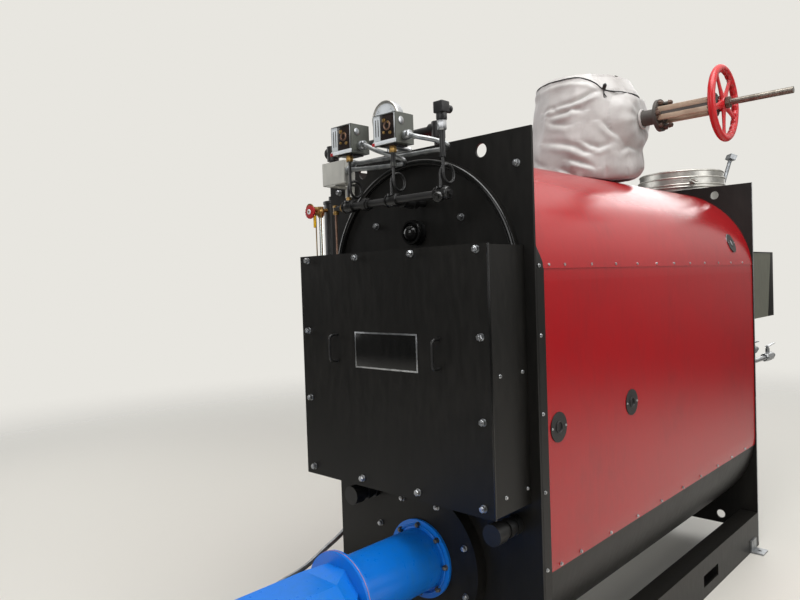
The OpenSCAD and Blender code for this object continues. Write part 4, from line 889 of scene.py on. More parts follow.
class BOILER_OT_handwheel(bpy.types.Operator):
    """Cast handwheel with a scalloped rim and five tapered spokes"""

    bl_idname = "boiler.handwheel"
    bl_label = "Handwheel"

    def execute(self, context):
        major, minor, lift = 0.152, 0.0158, 0.016
        y, z = VALVE_AXIS.y, VALVE_AXIS.z

        def scalloped(co):
            arm = math.hypot(co.x, co.y)
            inward = max(0.0, (major - arm) / minor)
            turn = math.atan2(co.y, co.x)
            share = 1 + inward * (0.0035 * math.cos(25 * turn) - 0.001) / arm
            return Vector((co.x * share, co.y * share, co.z))

        parts = [raised(reshape(torus("rim", major, minor, 160, 20), scalloped), 0, 0, lift)]
        for k in range(5):
            spoke = turned("spoke", [(0.021, 0.022), (0.0175, 0.04), (0.0145, 0.07), (0.013, 0.105),
                                     (0.014, 0.125), (0.018, 0.14), (0.02, 0.146)], 16)
            settle(spoke, Matrix.Diagonal((0.45, 1, 1, 1)))
            settle(spoke, Matrix.Translation((0, 0, lift)) @ Matrix.Rotation(math.radians(72 * k), 4, "Z")
                   @ Matrix.Rotation(math.pi / 2, 4, "Y"))
            parts.append(spoke)
        parts.append(turned("hub", [(0.027, 0.0015), (0.031, 0.004), (0.0318, 0.018), (0.029, 0.024),
                                    (0.0275, 0.0275)], 40))
        for part in parts:
            stand(part, (WHEEL_HIGH.x - 0.046, y, z), RIGHT)
        complete(parts, "handwheel_casting", "wheel paint", 50, "wheel", ("handwheel",))
        sleeve = turned("sleeve", [(0.0215, 0), (0.0219, 0.001), (0.0219, 0.041)], 40)
        stand(sleeve, (WHEEL_LOW.x + 0.0005, y, z), RIGHT)
        nut = turned("nut", [(0.0255, 0), (0.0278, 0.002), (0.0278, 0.014), (0.0245, 0.0165)], 6)
        stand(nut, (WHEEL_HIGH.x - 0.0172, y, z), RIGHT, 0.3)
        complete([sleeve, nut], "wheel_sleeve_and_nut", "rusty steel", 40, "wheel")
        return {"FINISHED"}


class BOILER_OT_front_trim(bpy.types.Operator):
    """Door bead, sight port plug, bare name plate, cover's folded edge and the port covers' sockets and screws"""

    bl_idname = "boiler.front_trim"
    bl_label = "Front trim"

    def execute(self, context):
        low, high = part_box("flue_door")
        thick = 0.0115
        bead = torus("bead", (high.x - low.x) / 2 - thick, thick, 192, 14)
        settle(bead, Matrix.Diagonal((1, 1, 0.75, 1)))
        complete([stand(bead, (0, low.y, (low.z + high.z) / 2), FRONT)], "flue_door_bead", "black gloss", 60)
        low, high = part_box("sight_port")
        middle = (low + high) / 2
        ring = turned("ring", [(0.0445, 0), (0.0445, 0.012), (0.0425, 0.016), (0.036, 0.016), (0.034, 0.004)], 48)
        stand(ring, (middle.x, low.y + 0.003, middle.z), FRONT)
        plug = turned("plug", [(0.029, 0), (0.0285, 0.012), (0.025, 0.022), (0.018, 0.03), (0.009, 0.0335),
                               (0.002, 0.0345)], 40)
        stand(plug, (middle.x + 0.003, low.y - 0.001, middle.z - 0.002), FRONT)
        complete([ring, plug], "sight_port_plug", "black gloss")
        y = COVER_Y
        for name, finish, near, far, soft, steps in (
                ("name_plate_edge", "zinc", (-0.15, y - 0.0016, 1.223), (0.15, y, 1.351), 0.0006, 2),
                ("name_plate_field", "black gloss", (-0.1445, y - 0.0022, 1.2285),
                 (0.1445, y - 0.001, 1.3455), 0.0003, 2),
                ("cover_fold", "black gloss", (PANEL_HIGH.x - 0.006, y - 0.0012, PANEL_LOW.z),
                 (PANEL_HIGH.x + 0.0008, y + 0.006, PANEL_HIGH.z), 0.0024, 3)):
            mount(coat(block(name, near, far, soft, steps), finish))
        self.port_covers()
        return {"FINISHED"}

    def port_covers(self):
        """Sockets, rims and screws of the jacket's six port covers, and the plates of the crown's two."""
        jacket_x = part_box("right_jacket")[1].x
        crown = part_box("crown_jacket")[1]
        tilt, reach = math.radians(19), crown.x + 0.0003
        socket = [(0.019, 0.0004), (0.019, 0.0042), (0.0165, 0.0046), (0.0155, 0.001)]
        plate = [(0.0497, 0.0002), (0.0497, 0.0034), (0.0487, 0.004), (0.02, 0.004)]
        screws, sockets, rims, plates = [], [], [], []
        for side in (-1, 1):
            spots = [(Vector((jacket_x * side, FRONT_Y + away, PORT_Z)), RIGHT * side) for away in (0.125, 0.669)]
            way = Vector((side * math.cos(tilt), 0, math.sin(tilt)))
            spots.append((Vector((0, FRONT_Y + 1.924, crown.z - crown.x)) + way * reach, way))
            for number, (spot, way) in enumerate(spots):
                place = facing(spot, way)
                sockets.append(settle(turned("socket", socket, 28), place))
                rims.append(settle(torus("rim", 0.0185, 0.0022, 32, 8), place @ Matrix.Translation((0, 0, 0.0042))))
                if number == 2:
                    plates.append(settle(turned("plate", plate, 48), place))
                for y in (-0.0425, 0.0425):
                    screws.append(Matrix.Translation((0, y, 0)) @ place @ Matrix.Translation((0, 0, 0.003)))
        fasteners(sheet_screw(0.006), screws, "port_cover_screws", "zinc")
        complete(sockets, "port_sockets", "black plastic")
        complete(rims, "port_socket_rims", "black iron", 60)
        complete(plates, "crown_port_plates", "dull zinc")


class BOILER_OT_rear_trim(bpy.types.Operator):
    """Flue clamp's beads and bolts, black strips on the smoke box's side, rear plate's cut edges and rear ball valve"""

    bl_idname = "boiler.rear_trim"
    bl_label = "Rear trim"

    def execute(self, context):
        self.flue_clamp()
        low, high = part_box("smoke_box")
        # A black strip over the rear of the smoke box's side, wider at the foot than at the top, and a thin black strip
        # along the top of that side
        edge = block("edge", (high.x - 0.001, high.y - 0.11, low.z), (high.x + 0.0012, high.y + 0.0005, high.z), 0.0004)

        def slanted(co):
            rise = (co.z - low.z) / (high.z - low.z)
            return Vector((co.x, co.y + (0.07 * rise if co.y < high.y - 0.05 else 0), co.z))

        reshape(edge, slanted)
        top = block("top", (high.x - 0.001, low.y, high.z - 0.006), (high.x + 0.001, high.y, high.z + 0.0006), 0.0004)
        complete([edge, top], "smoke_box_black_strips", "black paint")

        low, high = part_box("rear_plate")
        edges = [block("edge", (s * high.x - 0.0006, low.y + 0.0006, 0.02),
                       (s * high.x + 0.0006, high.y - 0.0006, high.z - 0.001), 0.0003) for s in (-1, 1)]
        complete(edges, "rear_plate_cut_edges", "dull zinc")
        self.ball_valve(high.y)
        return {"FINISHED"}

    def flue_clamp(self):
        """Rolled beads of the clamp and of the collar's mouth, with two pairs of lugs and their bolts."""
        low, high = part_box("flue_collar")
        at = (low + high) / 2
        clamp_r, foot, top = (high.x - low.x) / 2, high.z - 0.106, high.z - 0.04
        parts = [raised(torus("bead", clamp_r - 0.001, 0.0052, 128, 10), at.x, at.y, z)
                 for z in (foot + 0.005, top - 0.005, foot + 0.021, high.z - 0.006)]
        parts[3] = settle(parts[3], Matrix.Translation((at.x, at.y, 0)) @ Matrix.Diagonal((0.967, 0.967, 1, 1))
                          @ Matrix.Translation((-at.x, -at.y, 0)))
        for turn in (-0.95, 2.2):
            way = Vector((math.cos(turn), math.sin(turn), 0))
            along = way.cross(UP)
            spot = Vector((at.x, at.y, (foot + top) / 2)) + way * clamp_r
            for s in (-1, 1):
                lug = block("lug", (-0.012, -0.0025, 0), (0.012, 0.0025, 0.03), 0.0008)
                parts.append(settle(lug, facing(spot, way) @ Matrix.Translation((0, 0.011 * s, 0))
                                    @ Matrix.Rotation(0.2 * s, 4, "X")))
            bolt = turned("bolt", [(0.0045, 0), (0.0045, 0.052)], 12)
            parts.append(stand(bolt, spot + way * 0.02 - along * 0.026, along))
            nut = turned("nut", [(0.0085, 0), (0.0085, 0.008), (0.007, 0.0095)], 6)
            parts.append(stand(nut, spot + way * 0.02 + along * 0.014, along))
        complete(parts, "flue_clamp", "stainless")

    def ball_valve(self, back):
        """Small ball valve on its long nipple behind the rear plate."""
        x, z = 0.44, 1.006
        body = [(0.021, 0), (0.0245, 0.004), (0.0245, 0.026), (0.0225, 0.03), (0.0275, 0.05), (0.0275, 0.085),
                (0.0225, 0.105), (0.0245, 0.109), (0.0245, 0.131), (0.021, 0.135)]
        parts = [stand(turned(name, profile, sides), (x, back + away, z), -FRONT) for name, profile, sides, away in (
            ("nipple", [(0.0135, 0), (0.0135, 0.32)], 32, 0),
            ("body", body, 8, 0.305),
            ("outlet", [(0.0135, 0), (0.0135, 0.05)], 32, 0.43))]
        stem = turned("stem", [(0.011, 0), (0.011, 0.03), (0.0075, 0.031), (0.0075, 0.046)], 24)
        parts.append(raised(stem, x, back + 0.372, z + 0.02))
        lever = block("lever", (x - 0.0095, back + 0.355, z + 0.058), (x + 0.0095, back + 0.5, z + 0.0625), 0.0015, 3)
        bend = back + 0.39
        parts.append(reshape(lever, lambda co: co + Vector((0, 0, 0.01 * min(1.0, max(0.0, (co.y - bend) / 0.03))))))
        complete(parts, "rear_ball_valve", "zinc")


class BOILER_OT_pressure_controls(bpy.types.Operator):
    """Faces of the pressure controls, their brass unions and conduit connectors, and the sensor's plug"""

    bl_idname = "boiler.pressure_controls"
    bl_label = "Pressure controls"

    def execute(self, context):
        low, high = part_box("pressure_controls")
        face, wide, base = low.y, 0.106, high.z - 0.101
        top, bottom, mid_y = high.z - 0.004, base + 0.014, face + 0.029
        plates, darks, whites, coppers, brasses, zincs, reds = [], [], [], [], [], [], []
        necks = (-0.174, 0.044)
        for left, neck_x in zip((low.x, high.x - wide), necks):
            right = left + wide
            x0, x1, split = left + 0.003, right - 0.003, left + 0.034
            plates.append(block("scale", (x0, face - 0.0012, bottom), (split, face + 0.001, top), 0.0004))
            for x in (x0 + 0.009, x0 + 0.021):
                darks.append(block("slot", (x, face - 0.0018, bottom + 0.014), (x + 0.0035, face, top - 0.012), 0.0003))
            for parts, name, x, near, z, end, far, high_z, soft in (
                    (darks, "window", split + 0.002, 0.001, bottom, x1 - 0.003, 0.001, top, 0.0004),
                    (zincs, "rim", x1 - 0.003, 0.003, bottom, x1, 0.001, top + 0.002, 0.0008),
                    (zincs, "rim", x0, 0.003, top, x1, 0.001, top + 0.002, 0.0008),
                    (whites, "strip", left, 0.004, base - 0.0005, right, 0.003, base + 0.0125, 0.001),
                    (reds, "tag", left - 0.004, 0.0046, base - 0.002, left + 0.009, -0.001, base + 0.009, 0.0006)):
                parts.append(block(name, (x, face - near, z), (end, face + far, high_z), soft))
            coil = torus("coil", 0.013, 0.003, 32, 8)
            coppers.append(stand(coil, (split + 0.034, face - 0.002, bottom + 0.045), FRONT))
            for x, z, s in ((0.02, 0.07, 0.007), (0.048, 0.026, 0.006), (0.04, 0.062, 0.004), (0.018, 0.03, 0.005)):
                screw = turned("screw", [(s, 0), (s, 0.003), (s * 0.7, 0.004)], 16)
                brasses.append(stand(screw, (split + x, face - 0.001, bottom + z - 0.006), FRONT))
            disc = turned("knockout", [(0.0125, 0), (0.0125, 0.0012), (0.011, 0.002)], 28)
            zincs.append(stand(disc, (right, face + 0.027, high.z - 0.027), RIGHT))
            union = turned("union", [(0.0118, 0), (0.0132, 0.002), (0.0132, 0.016), (0.0118, 0.018)], 6)
            brasses.append(raised(union, neck_x, mid_y, base - 0.027))
            brasses.append(raised(turned("neck", [(0.0122, 0), (0.0122, 0.008)], 24), neck_x, mid_y, base - 0.009))
            gland = turned("connector", [(0.0125, 0), (0.0125, 0.004), (0.0165, 0.005), (0.0165, 0.013),
                                         (0.0135, 0.014), (0.0135, 0.018), (0.0155, 0.019), (0.0155, 0.026),
                                         (0.0115, 0.028)], 16)
            zincs.append(stand(gland, (right, mid_y + 0.011, base + 0.025), RIGHT))
            darks.append(block("foot", (left + 0.02, face + 0.01, base - 0.006),
                               (right - 0.02, high.y - 0.01, base + 0.001), 0.002))
        for parts, name, finish in ((plates, "control_scales", "pale panel"), (darks, "control_windows", "smoked"),
                                    (whites, "control_strips", "white plastic"), (coppers, "control_coils", "copper"),
                                    (brasses, "control_brass", "brass"), (zincs, "control_zinc", "zinc"),
                                    (reds, "control_tags", "red plastic")):
            complete(parts, name, finish)
        sleeve = raised(turned("sleeve", [(0.0084, 0), (0.0084, 0.046)], 24), necks[1], mid_y, base - 0.074)
        nut = raised(turned("nut", [(0.0114, 0), (0.0114, 0.0143)], 6), necks[1], mid_y, base - 0.0745)
        complete([sleeve, nut], "control_nipple", "black iron")
        self.sensor()
        return {"FINISHED"}

    def sensor(self):
        """Hexagon, collar and plug of the pressure sensor on its nipple."""
        x, y, top = 0.262, MANIFOLD_Y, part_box("pressure_sensor")[1].z
        hexagon = turned("hex", [(0.0135, 0), (0.0152, 0.002), (0.0152, 0.031), (0.0135, 0.033)], 6)
        complete([raised(hexagon, x, y, 1.998)], "sensor_hexagon", "zinc")
        collar = turned("collar", [(0.0165, 0), (0.0175, 0.004), (0.0175, 0.02), (0.0155, 0.0235)], 32)
        raised(collar, x, y, 2.031)
        plug = block("plug", (x - 0.019, y - 0.019, 2.052), (x + 0.019, y + 0.019, top), 0.003, 3)
        gland = turned("gland", [(0.0115, 0), (0.0115, 0.014), (0.0128, 0.015), (0.0128, 0.026), (0.0095, 0.0262)], 18)
        stand(gland, (x, y + 0.0165, 2.07), -FRONT)
        complete([collar, plug, gland], "sensor_connector", "black plastic")
        nipple = turned("nipple", [(0.0094, 0), (0.0094, 0.085)], 24)
        complete([raised(nipple, x, y, 1.914)], "nipple", "black iron", 35)


class BOILER_OT_pressure_gauge(bpy.types.Operator):
    """Dial, pointer and ring of the steam gauge"""

    bl_idname = "boiler.pressure_gauge"
    bl_label = "Pressure gauge"

    def execute(self, context):
        low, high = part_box("pressure_gauge")
        radius = 0.064
        at = Vector((low.x + radius, high.y - 0.028, high.z - radius))
        ring = settle(torus("ring", radius - 0.005, 0.006, 96, 14), Matrix.Diagonal((1, 1, 0.8, 1)))
        complete([stand(ring, at, FRONT)], "gauge_ring", "stainless", 60)
        dial = turned("dial", [(radius - 0.006, 0), (radius - 0.006, 0.001)], 64)
        complete([stand(dial, at, FRONT)], "gauge_dial", "white plastic", 35)
        marks = []
        for k in range(31):
            size = 0.009 if k % 5 == 0 else 0.005
            mark = block("mark", (0.046 - size, -0.0005, 0.0011), (0.046, 0.0005, 0.0014), 0)
            marks.append(stand(mark, at, FRONT, math.radians(-225 + 9 * k)))
        pointer = block("pointer", (-0.012, -0.0012, 0.0016), (0.04, 0.0012, 0.0026), 0.0003)
        marks.append(stand(pointer, at, FRONT, math.radians(-185)))
        marks.append(stand(turned("boss", [(0.005, 0), (0.005, 0.003)], 20), at, FRONT))
        complete(marks, "gauge_marks", "black plastic")
        return {"FINISHED"}


class BOILER_OT_manifold_fittings(bpy.types.Operator):
    """Beaded tees, union and plugs of the control manifold and the branch's copper tube"""

    bl_idname = "boiler.manifold_fittings"
    bl_label = "Manifold fittings"

    def execute(self, context):
        low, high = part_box("control_manifold")
        y, z = MANIFOLD_Y, MANIFOLD_Z
        bead = [(0.0185, 0), (0.0215, 0.0015), (0.0215, 0.0065), (0.0185, 0.008)]
        branch_bead = [(0.0138, 0), (0.0185, 0.001), (0.0185, 0.007), (0.0138, 0.008)]
        swell = [(0.0182, 0), (0.0198, 0.008), (0.0205, 0.02), (0.0198, 0.032), (0.0182, 0.04)]
        blacks = []
        for x in (-0.182, 0.036, 0.254):
            for side in (-0.026, 0.018):
                blacks.append(stand(turned("bead", bead, 32), (x + side, y, z), RIGHT))
            blacks.append(raised(turned("bead", branch_bead, 32), x, y, z + 0.0155))
            blacks.append(stand(turned("swell", swell, 32), (x - 0.02, y, z), RIGHT))
        union = turned("union", [(0.0165, 0), (0.019, 0.001), (0.019, 0.008), (0.0235, 0.009), (0.0235, 0.026),
                                 (0.02, 0.027), (0.02, 0.036), (0.0165, 0.037)], 8)
        blacks.append(stand(union, (-0.112, y, z), RIGHT))
        cap = turned("cap", [(0.0215, 0), (0.0215, 0.014), (0.018, 0.019), (0.009, 0.02), (0.009, 0.028)], 24)
        blacks.append(stand(cap, (high.x - 0.016, y, z), RIGHT))
        plug = turned("plug", [(0.013, 0), (0.0175, 0.001), (0.0175, 0.014), (0.0145, 0.018), (0.006, 0.0185),
                               (0.006, 0.026)], 24)
        blacks.append(stand(plug, (0.254, y - 0.014, z - 0.01), (0.25, -1, -0.35)))
        for back in (0.04, 0.1):
            collar = turned("bead", [(0.0165, 0), (0.0215, 0.002), (0.0215, 0.014), (0.0165, 0.016)], 32)
            blacks.append(stand(collar, (0.036, y + back, z), -FRONT))
        complete(blacks, "manifold_beads", "black gloss iron")
        x = low.x + 0.009
        branch = turned("branch", [(0.0095, 0), (0.0112, 0.002), (0.0112, 0.012), (0.0095, 0.014), (0.0095, 0.026),
                                   (0.0108, 0.027), (0.0108, 0.034)], 8)
        hexagon = turned("hexagon", [(0.0125, 0), (0.0135, 0.001), (0.0135, 0.012), (0.0125, 0.013)], 6)
        union = turned("union", [(0.0075, 0), (0.0095, 0.001), (0.0095, 0.012), (0.0075, 0.013)], 6)
        brasses = [raised(branch, x, y, z - 0.022), stand(hexagon, (-0.224, y, z), RIGHT),
                   raised(union, -0.186, y, z + 0.023)]
        complete(brasses, "manifold_brass", "brass")
        copper = turned("copper", [(0.0043, 0), (0.0043, z - 0.02 - low.z)], 16)
        complete([raised(copper, x, y, low.z)], "branch_tube", "copper", 35)
        return {"FINISHED"}


class BOILER_OT_conduits(bpy.types.Operator):
    """Flexible metal conduits from the terminal box to the pressure controls"""

    bl_idname = "boiler.conduits"
    bl_label = "Conduits"

    def execute(self, context):
        top, box_x, end_y = 1.96, -0.278, MANIFOLD_Y + 0.011
        gland = [(0.0125, 0), (0.0125, 0.003), (0.0155, 0.004), (0.0155, 0.012), (0.013, 0.013), (0.013, 0.019)]
        made = []
        for y, z, x, case_x in ((FRONT_Y - 0.066, top + 0.02, 0.205, 0.088),
                                (FRONT_Y - 0.088, top - 0.008, 0.028, -0.13)):
            end = (case_x + 0.022, end_y, top + 0.053)
            route = [(box_x + 0.016, y, z), (box_x + 0.03, y, z), (box_x + 0.08, y, z - 0.005),
                     (x - 0.09, y, z - 0.014), (x - 0.02, y, z - 0.016), (x + 0.008, y - 0.022, z - 0.008),
                     (x - 0.022, y - 0.048, z + 0.008),
                     ((x + case_x) / 2 - 0.004, end_y + 0.008, (z + end[2]) / 2 + 0.004),
                     (case_x + 0.034, end_y + 0.002, end[2] - 0.005), end]
            made.append(coat(ribbed("conduit", route, 0.0086, 0.0052), "conduit zinc", 60))
            made.append(coat(stand(turned("connector", gland, 16), (box_x, y, z), RIGHT), "conduit zinc"))
        complete(made, "control_conduit_hoses", "conduit zinc", 60, replaces=("control_conduits",))
        return {"FINISHED"}


class BOILER_OT_water_gauge(bpy.types.Operator):
    """Gauge glass rods and nuts, red valve wheels and the water column's flanges"""

    bl_idname = "boiler.water_gauge"
    bl_label = "Water gauge"

    def execute(self, context):
        low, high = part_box("gauge_glass")
        x, y = (low.x + high.x) / 2, (low.y + high.y) / 2
        z0, z1 = low.z - 0.004, high.z + 0.004
        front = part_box("gauge_valves")[0].y
        packing = [(0.0135, 0), (0.0165, 0.002), (0.0165, 0.015), (0.013, 0.018), (0.0105, 0.024)]
        swell = [(0.0105, 0), (0.0145, 0.004), (0.0165, 0.014), (0.0145, 0.024), (0.0105, 0.028)]
        bonnet = [(0.0135, 0), (0.0145, 0.001), (0.0145, 0.012), (0.01, 0.014), (0.0065, 0.024), (0.0065, 0.03)]
        brasses, reds, whites, steels = [], [], [], []
        for z, way in ((z0, 1), (z1, -1)):
            brasses.append(settle(turned("packing_nut", packing, 6), Matrix.Translation((x, y, z - way * 0.002))
                                  @ Matrix.Rotation(0 if way > 0 else math.pi, 4, "X")))
            brasses.append(raised(turned("valve_body", swell, 24), x, y, z - 0.014))
            brasses.append(stand(turned("bonnet", bonnet, 6), (x, y - 0.016, z), FRONT))
            reds.append(stand(torus("rim", 0.0252, 0.0046, 48, 12), (x, front + 0.004, z), FRONT))
            hub = facing((x, front + 0.005, z), FRONT)
            reds.append(settle(turned("web", [(0.026, 0), (0.026, 0.0062), (0.012, 0.0075)], 40), hub))
            for k in range(16):
                turn = math.radians(22.5 * k)
                lobe = turned("lobe", [(0.0036, 0), (0.0036, 0.005), (0.002, 0.0065)], 8)
                out = Vector((0.0262 * math.cos(turn), 0.0262 * math.sin(turn), 0))
                reds.append(settle(lobe, hub @ Matrix.Translation(out)))
            plate = turned("hub_plate", [(0.0108, 0), (0.0108, 0.0022), (0.0095, 0.003)], 28)
            whites.append(stand(plate, (x, front - 0.0015, z), FRONT))
            nut = turned("hub_nut", [(0.0042, 0), (0.0042, 0.004), (0.003, 0.005)], 6)
            steels.append(stand(nut, (x, front - 0.003, z), FRONT))
        for side in (-0.018, 0.018):
            steels.append(rod("guard_rod", (x + side, y - 0.012, z0), (x + side, y - 0.012, z1), 0.0026))
        lever = block("gauge_lever", (x - 0.006, front + 0.022, z1 - 0.066),
                      (x + 0.006, front + 0.03, z1 - 0.014), 0.003, 3)
        complete([lever], "lever", "yellow plastic")
        complete(brasses, "gauge_brass", "brass")
        complete(reds, "gauge_wheels", "red plastic")
        complete(whites, "gauge_wheel_plates", "white plastic")
        complete(steels, "gauge_guard_rods", "brass", 60)

        low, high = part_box("water_column")
        at = (low + high) / 2
        band = [(0.047, 0), (0.0505, 0.002), (0.0505, 0.012), (0.047, 0.014)]
        irons = [raised(turned("band", band, 48), at.x, at.y, z) for z in (low.z + 0.018, high.z - 0.034)]
        ring = turned("bowl_flange", [(0.05, 0), (0.082, 0.001), (0.082, 0.012), (0.079, 0.014), (0.05, 0.015)], 48)
        bowl_y, bowl_z = -0.80, 1.698
        irons.append(raised(ring, at.x, bowl_y, bowl_z))
        complete(irons, "column_bands", "black iron")
        return {"FINISHED"}


class BOILER_OT_side_panel(bpy.types.Operator):
    """Panel door's plates, lamps, hinges and latches, and the mark of its knob"""

    bl_idname = "boiler.side_panel"
    bl_label = "Side panel"

    def execute(self, context):
        low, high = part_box("panel_door")
        face, lamp_z = low.x, high.z - 0.26
        out = (-1, 0, 0)
        top = Vector((face, high.y, high.z))
        foot = Vector((face, low.y, high.z))
        whites, darks, zincs, greens = [], [], [], []
        for parts, first, near, second, far, soft in (
                (whites, foot, (-0.004, 0.06, -0.17), foot, (0.001, 0.14, -0.09), 0.002),
                (whites, foot, (-0.0012, 0.03, -0.06), top, (0.001, -0.04, -0.02), 0.0004),
                (darks, foot, (-0.005, 0.068, -0.135), foot, (-0.003, 0.118, -0.1), 0.0006),
                (whites, top, (-0.006, -0.15, -0.16), top, (0.001, -0.07, -0.1), 0.002),
                (darks, top, (-0.007, -0.14, -0.15), top, (-0.005, -0.1, -0.12), 0.0006)):
            parts.append(block("plate", first + Vector(near), second + Vector(far), soft))
        for y, parts in ((low.y + 0.08, whites), (low.y + 0.16, greens)):
            bezel = turned("bezel", [(0.0145, 0), (0.0145, 0.004), (0.0125, 0.006)], 28)
            zincs.append(stand(bezel, (face, y, lamp_z), out))
            cap = turned("lens", [(0.011, 0), (0.011, 0.01), (0.008, 0.014), (0.003, 0.0155)], 24)
            parts.append(stand(cap, (face - 0.004, y, lamp_z), out))
        for z in (low.z + 0.09, high.z - 0.09):
            hinge = turned("hinge", [(0.006, 0), (0.0068, 0.001), (0.0068, 0.05), (0.006, 0.051)], 16)
            zincs.append(raised(hinge, low.x + 0.006, low.y + 0.001, z - 0.025))
        for z in (low.z + 0.05, high.z - 0.05):
            latch = turned("latch", [(0.008, 0), (0.008, 0.003), (0.0055, 0.004)], 20)
            zincs.append(stand(latch, (face, high.y - 0.025, z), out))
        for parts, name, finish in ((whites, "panel_plates", "white plastic"), (darks, "panel_screens", "smoked"),
                                    (zincs, "panel_metal", "zinc"), (greens, "panel_green_lamp", "green plastic")):
            complete(parts, name, finish, body="door")
        low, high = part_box("disconnect_knob")
        at = Vector((low.x, (low.y + high.y) / 2, (low.z + high.z) / 2))
        mark = block("mark", at - Vector((0.0008, 0.0035, 0.018)), at + Vector((0.001, 0.0035, 0.018)), 0.0004)
        complete([mark], "knob_mark", "white plastic", 35, "disconnect")
        return {"FINISHED"}


class BOILER_OT_burner_trim(bpy.types.Operator):
    """Gasket and bead of the blast tube, drum cover's knobs and blank label, motor's fins"""

    bl_idname = "boiler.burner_trim"
    bl_label = "Burner trim"

    def execute(self, context):
        low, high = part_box("blast_tube")
        gasket = turned("gasket", [(0.1445, 0), (0.1445, 0.0022)], 96)
        complete([stand(gasket, (0, low.y + 0.0012, BURNER_Z), FRONT)], "burner_gasket", "gasket", 35)
        bead = stand(torus("bead", 0.121, 0.003, 96, 8), (0, high.y - 0.013, BURNER_Z), FRONT)
        complete([bead], "tube_bead_back", "blue paint", 60)
        low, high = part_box("drum_cover")
        at = Vector((low.x, (low.y + high.y) / 2, (low.z + high.z) / 2))
        knobs = []
        for turn in (0.6, 2.7, 4.8):
            knob = turned("star_knob", [(0.012, 0), (0.018, 0.006), (0.018, 0.018), (0.012, 0.022)], 12)
            knobs.append(stand(knob, at + Vector((0, 0.14 * math.cos(turn), 0.14 * math.sin(turn))), (-1, 0, 0)))
        complete(knobs, "drum_knobs", "black plastic", 30)
        label = block("label", at - Vector((0.0008, 0.05, 0.03)), at + Vector((0.001, 0.05, 0.03)), 0.0003)
        complete([label], "drum_label", "label yellow", 35)
        low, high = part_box("fan_motor")
        at, reach, count = (low + high) / 2, (high.z - low.z) / 2, 24
        fins = []
        for k in range(count):
            fin = block("fin", (low.x + 0.02, -0.0012, reach - 0.012), (high.x - 0.035, 0.0012, reach - 0.0005), 0.0005)
            settle(fin, Matrix.Translation((0, at.y, at.z)) @ Matrix.Rotation(2 * math.pi * k / count, 4, "X"))
            fins.append(fin)
        complete(fins, "motor_fins", "die cast")
        return {"FINISHED"}


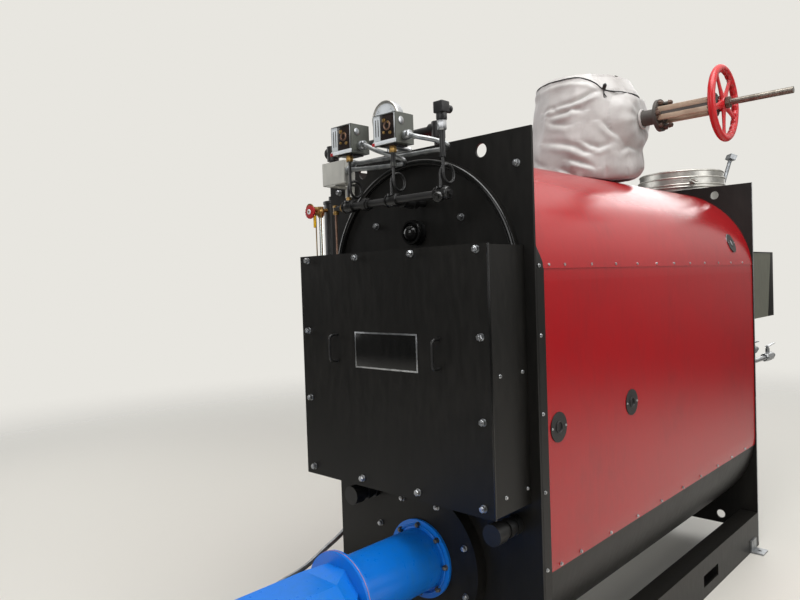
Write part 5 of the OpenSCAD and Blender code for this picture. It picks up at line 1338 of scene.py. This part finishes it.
class BOILER_OT_stage(bpy.types.Operator):
    """Camera at the photograph's place, pale floor and soft light"""

    bl_idname = "boiler.stage"
    bl_label = "Stage"

    def execute(self, context):
        scene = context.scene
        scene.view_settings.view_transform = "Standard"
        data = bpy.data.cameras.new("camera")
        camera = bpy.data.objects.new("camera", data)
        scene.collection.objects.link(camera)
        scene.camera = camera
        data.sensor_width = 36
        data.sensor_fit = "HORIZONTAL"
        data.lens = scene.boiler_sizes.camera_lens
        data.clip_end = 200
        yaw, pitch, roll = math.radians(43.6386), math.radians(-1.5848), math.radians(-1.9244)
        ahead = Vector((-math.sin(yaw) * math.cos(pitch), math.cos(yaw) * math.cos(pitch), math.sin(pitch)))
        level = Vector((math.cos(yaw), math.sin(yaw), 0))
        above = level.cross(ahead)
        right = math.cos(roll) * level + math.sin(roll) * above
        top = -math.sin(roll) * level + math.cos(roll) * above
        turn = Matrix((right, top, -ahead)).transposed().to_4x4()
        camera.matrix_world = Matrix.Translation((1.6428, -2.9353, 1.5258)) @ turn

        clear_selection()
        bpy.ops.mesh.primitive_plane_add(size=80, location=(0, 0, -0.001))
        floor = added("floor")
        made, tree, shader = finish_of("pale_floor")
        shader.inputs["Base Color"].default_value = linear(scene.boiler_paints.floor)
        shader.inputs["Roughness"].default_value = 0.6
        where = node(tree, "ShaderNodeTexCoord").outputs["Object"]
        away = node(tree, "ShaderNodeVectorMath", {0: where}, operation="LENGTH").outputs["Value"]
        fade = node(tree, "ShaderNodeMapRange", {"Value": away, "From Min": 2.6, "From Max": 9.0},
                    interpolation_type="SMOOTHSTEP").outputs[0]
        clear = node(tree, "ShaderNodeBsdfTransparent")
        mixed = node(tree, "ShaderNodeMixShader", {0: fade, 1: shader.outputs[0], 2: clear.outputs[0]})
        tree.links.new(mixed.outputs[0], tree.nodes["Material Output"].inputs["Surface"])
        floor.data.materials.append(made)

        world = bpy.data.worlds.new("studio")
        scene.world = world
        world.use_nodes = True
        tree = world.node_tree
        tree.nodes.clear()
        path = node(tree, "ShaderNodeLightPath")
        seen = node(tree, "ShaderNodeMath", {0: path.outputs["Is Camera Ray"], 1: path.outputs["Is Transmission Ray"]},
                    operation="MAXIMUM").outputs[0]
        lit = node(tree, "ShaderNodeBackground", {"Color": linear("DDE0E6"), "Strength": 0.55})
        shown = node(tree, "ShaderNodeBackground", {"Color": linear("E8E6E0"), "Strength": 1.0})
        way = node(tree, "ShaderNodeTexCoord").outputs["Generated"]
        side = node(tree, "ShaderNodeVectorMath", {0: way, 1: (0.1, 0.42, 0.9)},
                    operation="DOT_PRODUCT").outputs["Value"]
        power = node(tree, "ShaderNodeMapRange", {"Value": side, "From Min": 0.34, "From Max": 0.95, "To Min": 0.08,
                                                  "To Max": 1.7}).outputs[0]
        mirrored = node(tree, "ShaderNodeBackground", {"Color": linear("E6E4E0"), "Strength": power})
        lit = node(tree, "ShaderNodeMixShader", {0: path.outputs["Is Glossy Ray"], 1: lit.outputs[0],
                                                 2: mirrored.outputs[0]})
        mixed = node(tree, "ShaderNodeMixShader", {0: seen, 1: lit.outputs[0], 2: shown.outputs[0]})
        node(tree, "ShaderNodeOutputWorld", {"Surface": mixed.outputs[0]})

        lamps = [
            ("ceiling_lamp", (1.2, -1.0, 4.8), (0.0, -0.3, 1.0), 3.0, 170),
            ("front_lamp", (0.5, -5.5, 3.0), (0.0, -1.0, 1.0), 2.5, 60),
            ("right_lamp", (5.0, 0.5, 3.4), (0.0, 0.3, 1.2), 3.0, 80),
            ("left_lamp", (-5.0, -1.5, 3.0), (0.0, 0.0, 1.0), 3.0, 60),
            ("rear_lamp", (-1.0, 5.5, 3.5), (0.0, 0.5, 1.0), 3.0, 60),
        ]
        for name, place, aim, size, power in lamps:
            light = bpy.data.lights.new(name, "AREA")
            light.size = size
            light.energy = power
            lamp = bpy.data.objects.new(name, light)
            scene.collection.objects.link(lamp)
            away = Vector(place) - Vector(aim)
            lamp.matrix_world = Matrix.Translation(place) @ away.to_track_quat("Z", "Y").to_matrix().to_4x4()
        return {"FINISHED"}


OPERATORS = [
    BOILER_OT_stage,
    BOILER_OT_finishes,
    BOILER_OT_cover_bolts,
    BOILER_OT_sheet_screws,
    BOILER_OT_burner_bolts,
    BOILER_OT_valve_jacket,
    BOILER_OT_valve_trim,
    BOILER_OT_handwheel,
    BOILER_OT_front_trim,
    BOILER_OT_rear_trim,
    BOILER_OT_pressure_controls,
    BOILER_OT_pressure_gauge,
    BOILER_OT_manifold_fittings,
    BOILER_OT_conduits,
    BOILER_OT_water_gauge,
    BOILER_OT_side_panel,
    BOILER_OT_burner_trim,
]


class BOILER_PT_panel(bpy.types.Panel):
    """Lists the boiler's operators"""

    bl_idname = "BOILER_PT_panel"
    bl_label = "Boiler"
    bl_space_type = "VIEW_3D"
    bl_region_type = "UI"
    bl_category = "Boiler"

    def draw(self, context):
        for made in OPERATORS:
            self.layout.operator(made.bl_idname)


def register():
    for made in (BoilerPaints, BoilerSizes, *OPERATORS, BOILER_PT_panel):
        bpy.utils.register_class(made)
    bpy.types.Scene.boiler_paints = PointerProperty(type=BoilerPaints)
    bpy.types.Scene.boiler_sizes = PointerProperty(type=BoilerSizes)


def unregister():
    del bpy.types.Scene.boiler_sizes
    del bpy.types.Scene.boiler_paints
    for made in (BOILER_PT_panel, *reversed(OPERATORS), BoilerSizes, BoilerPaints):
        bpy.utils.unregister_class(made)


def main():
    register()
    for made in OPERATORS:
        group, action = made.bl_idname.split(".")
        getattr(getattr(bpy.ops, group), action)()


if __name__ == "__main__":
    main()
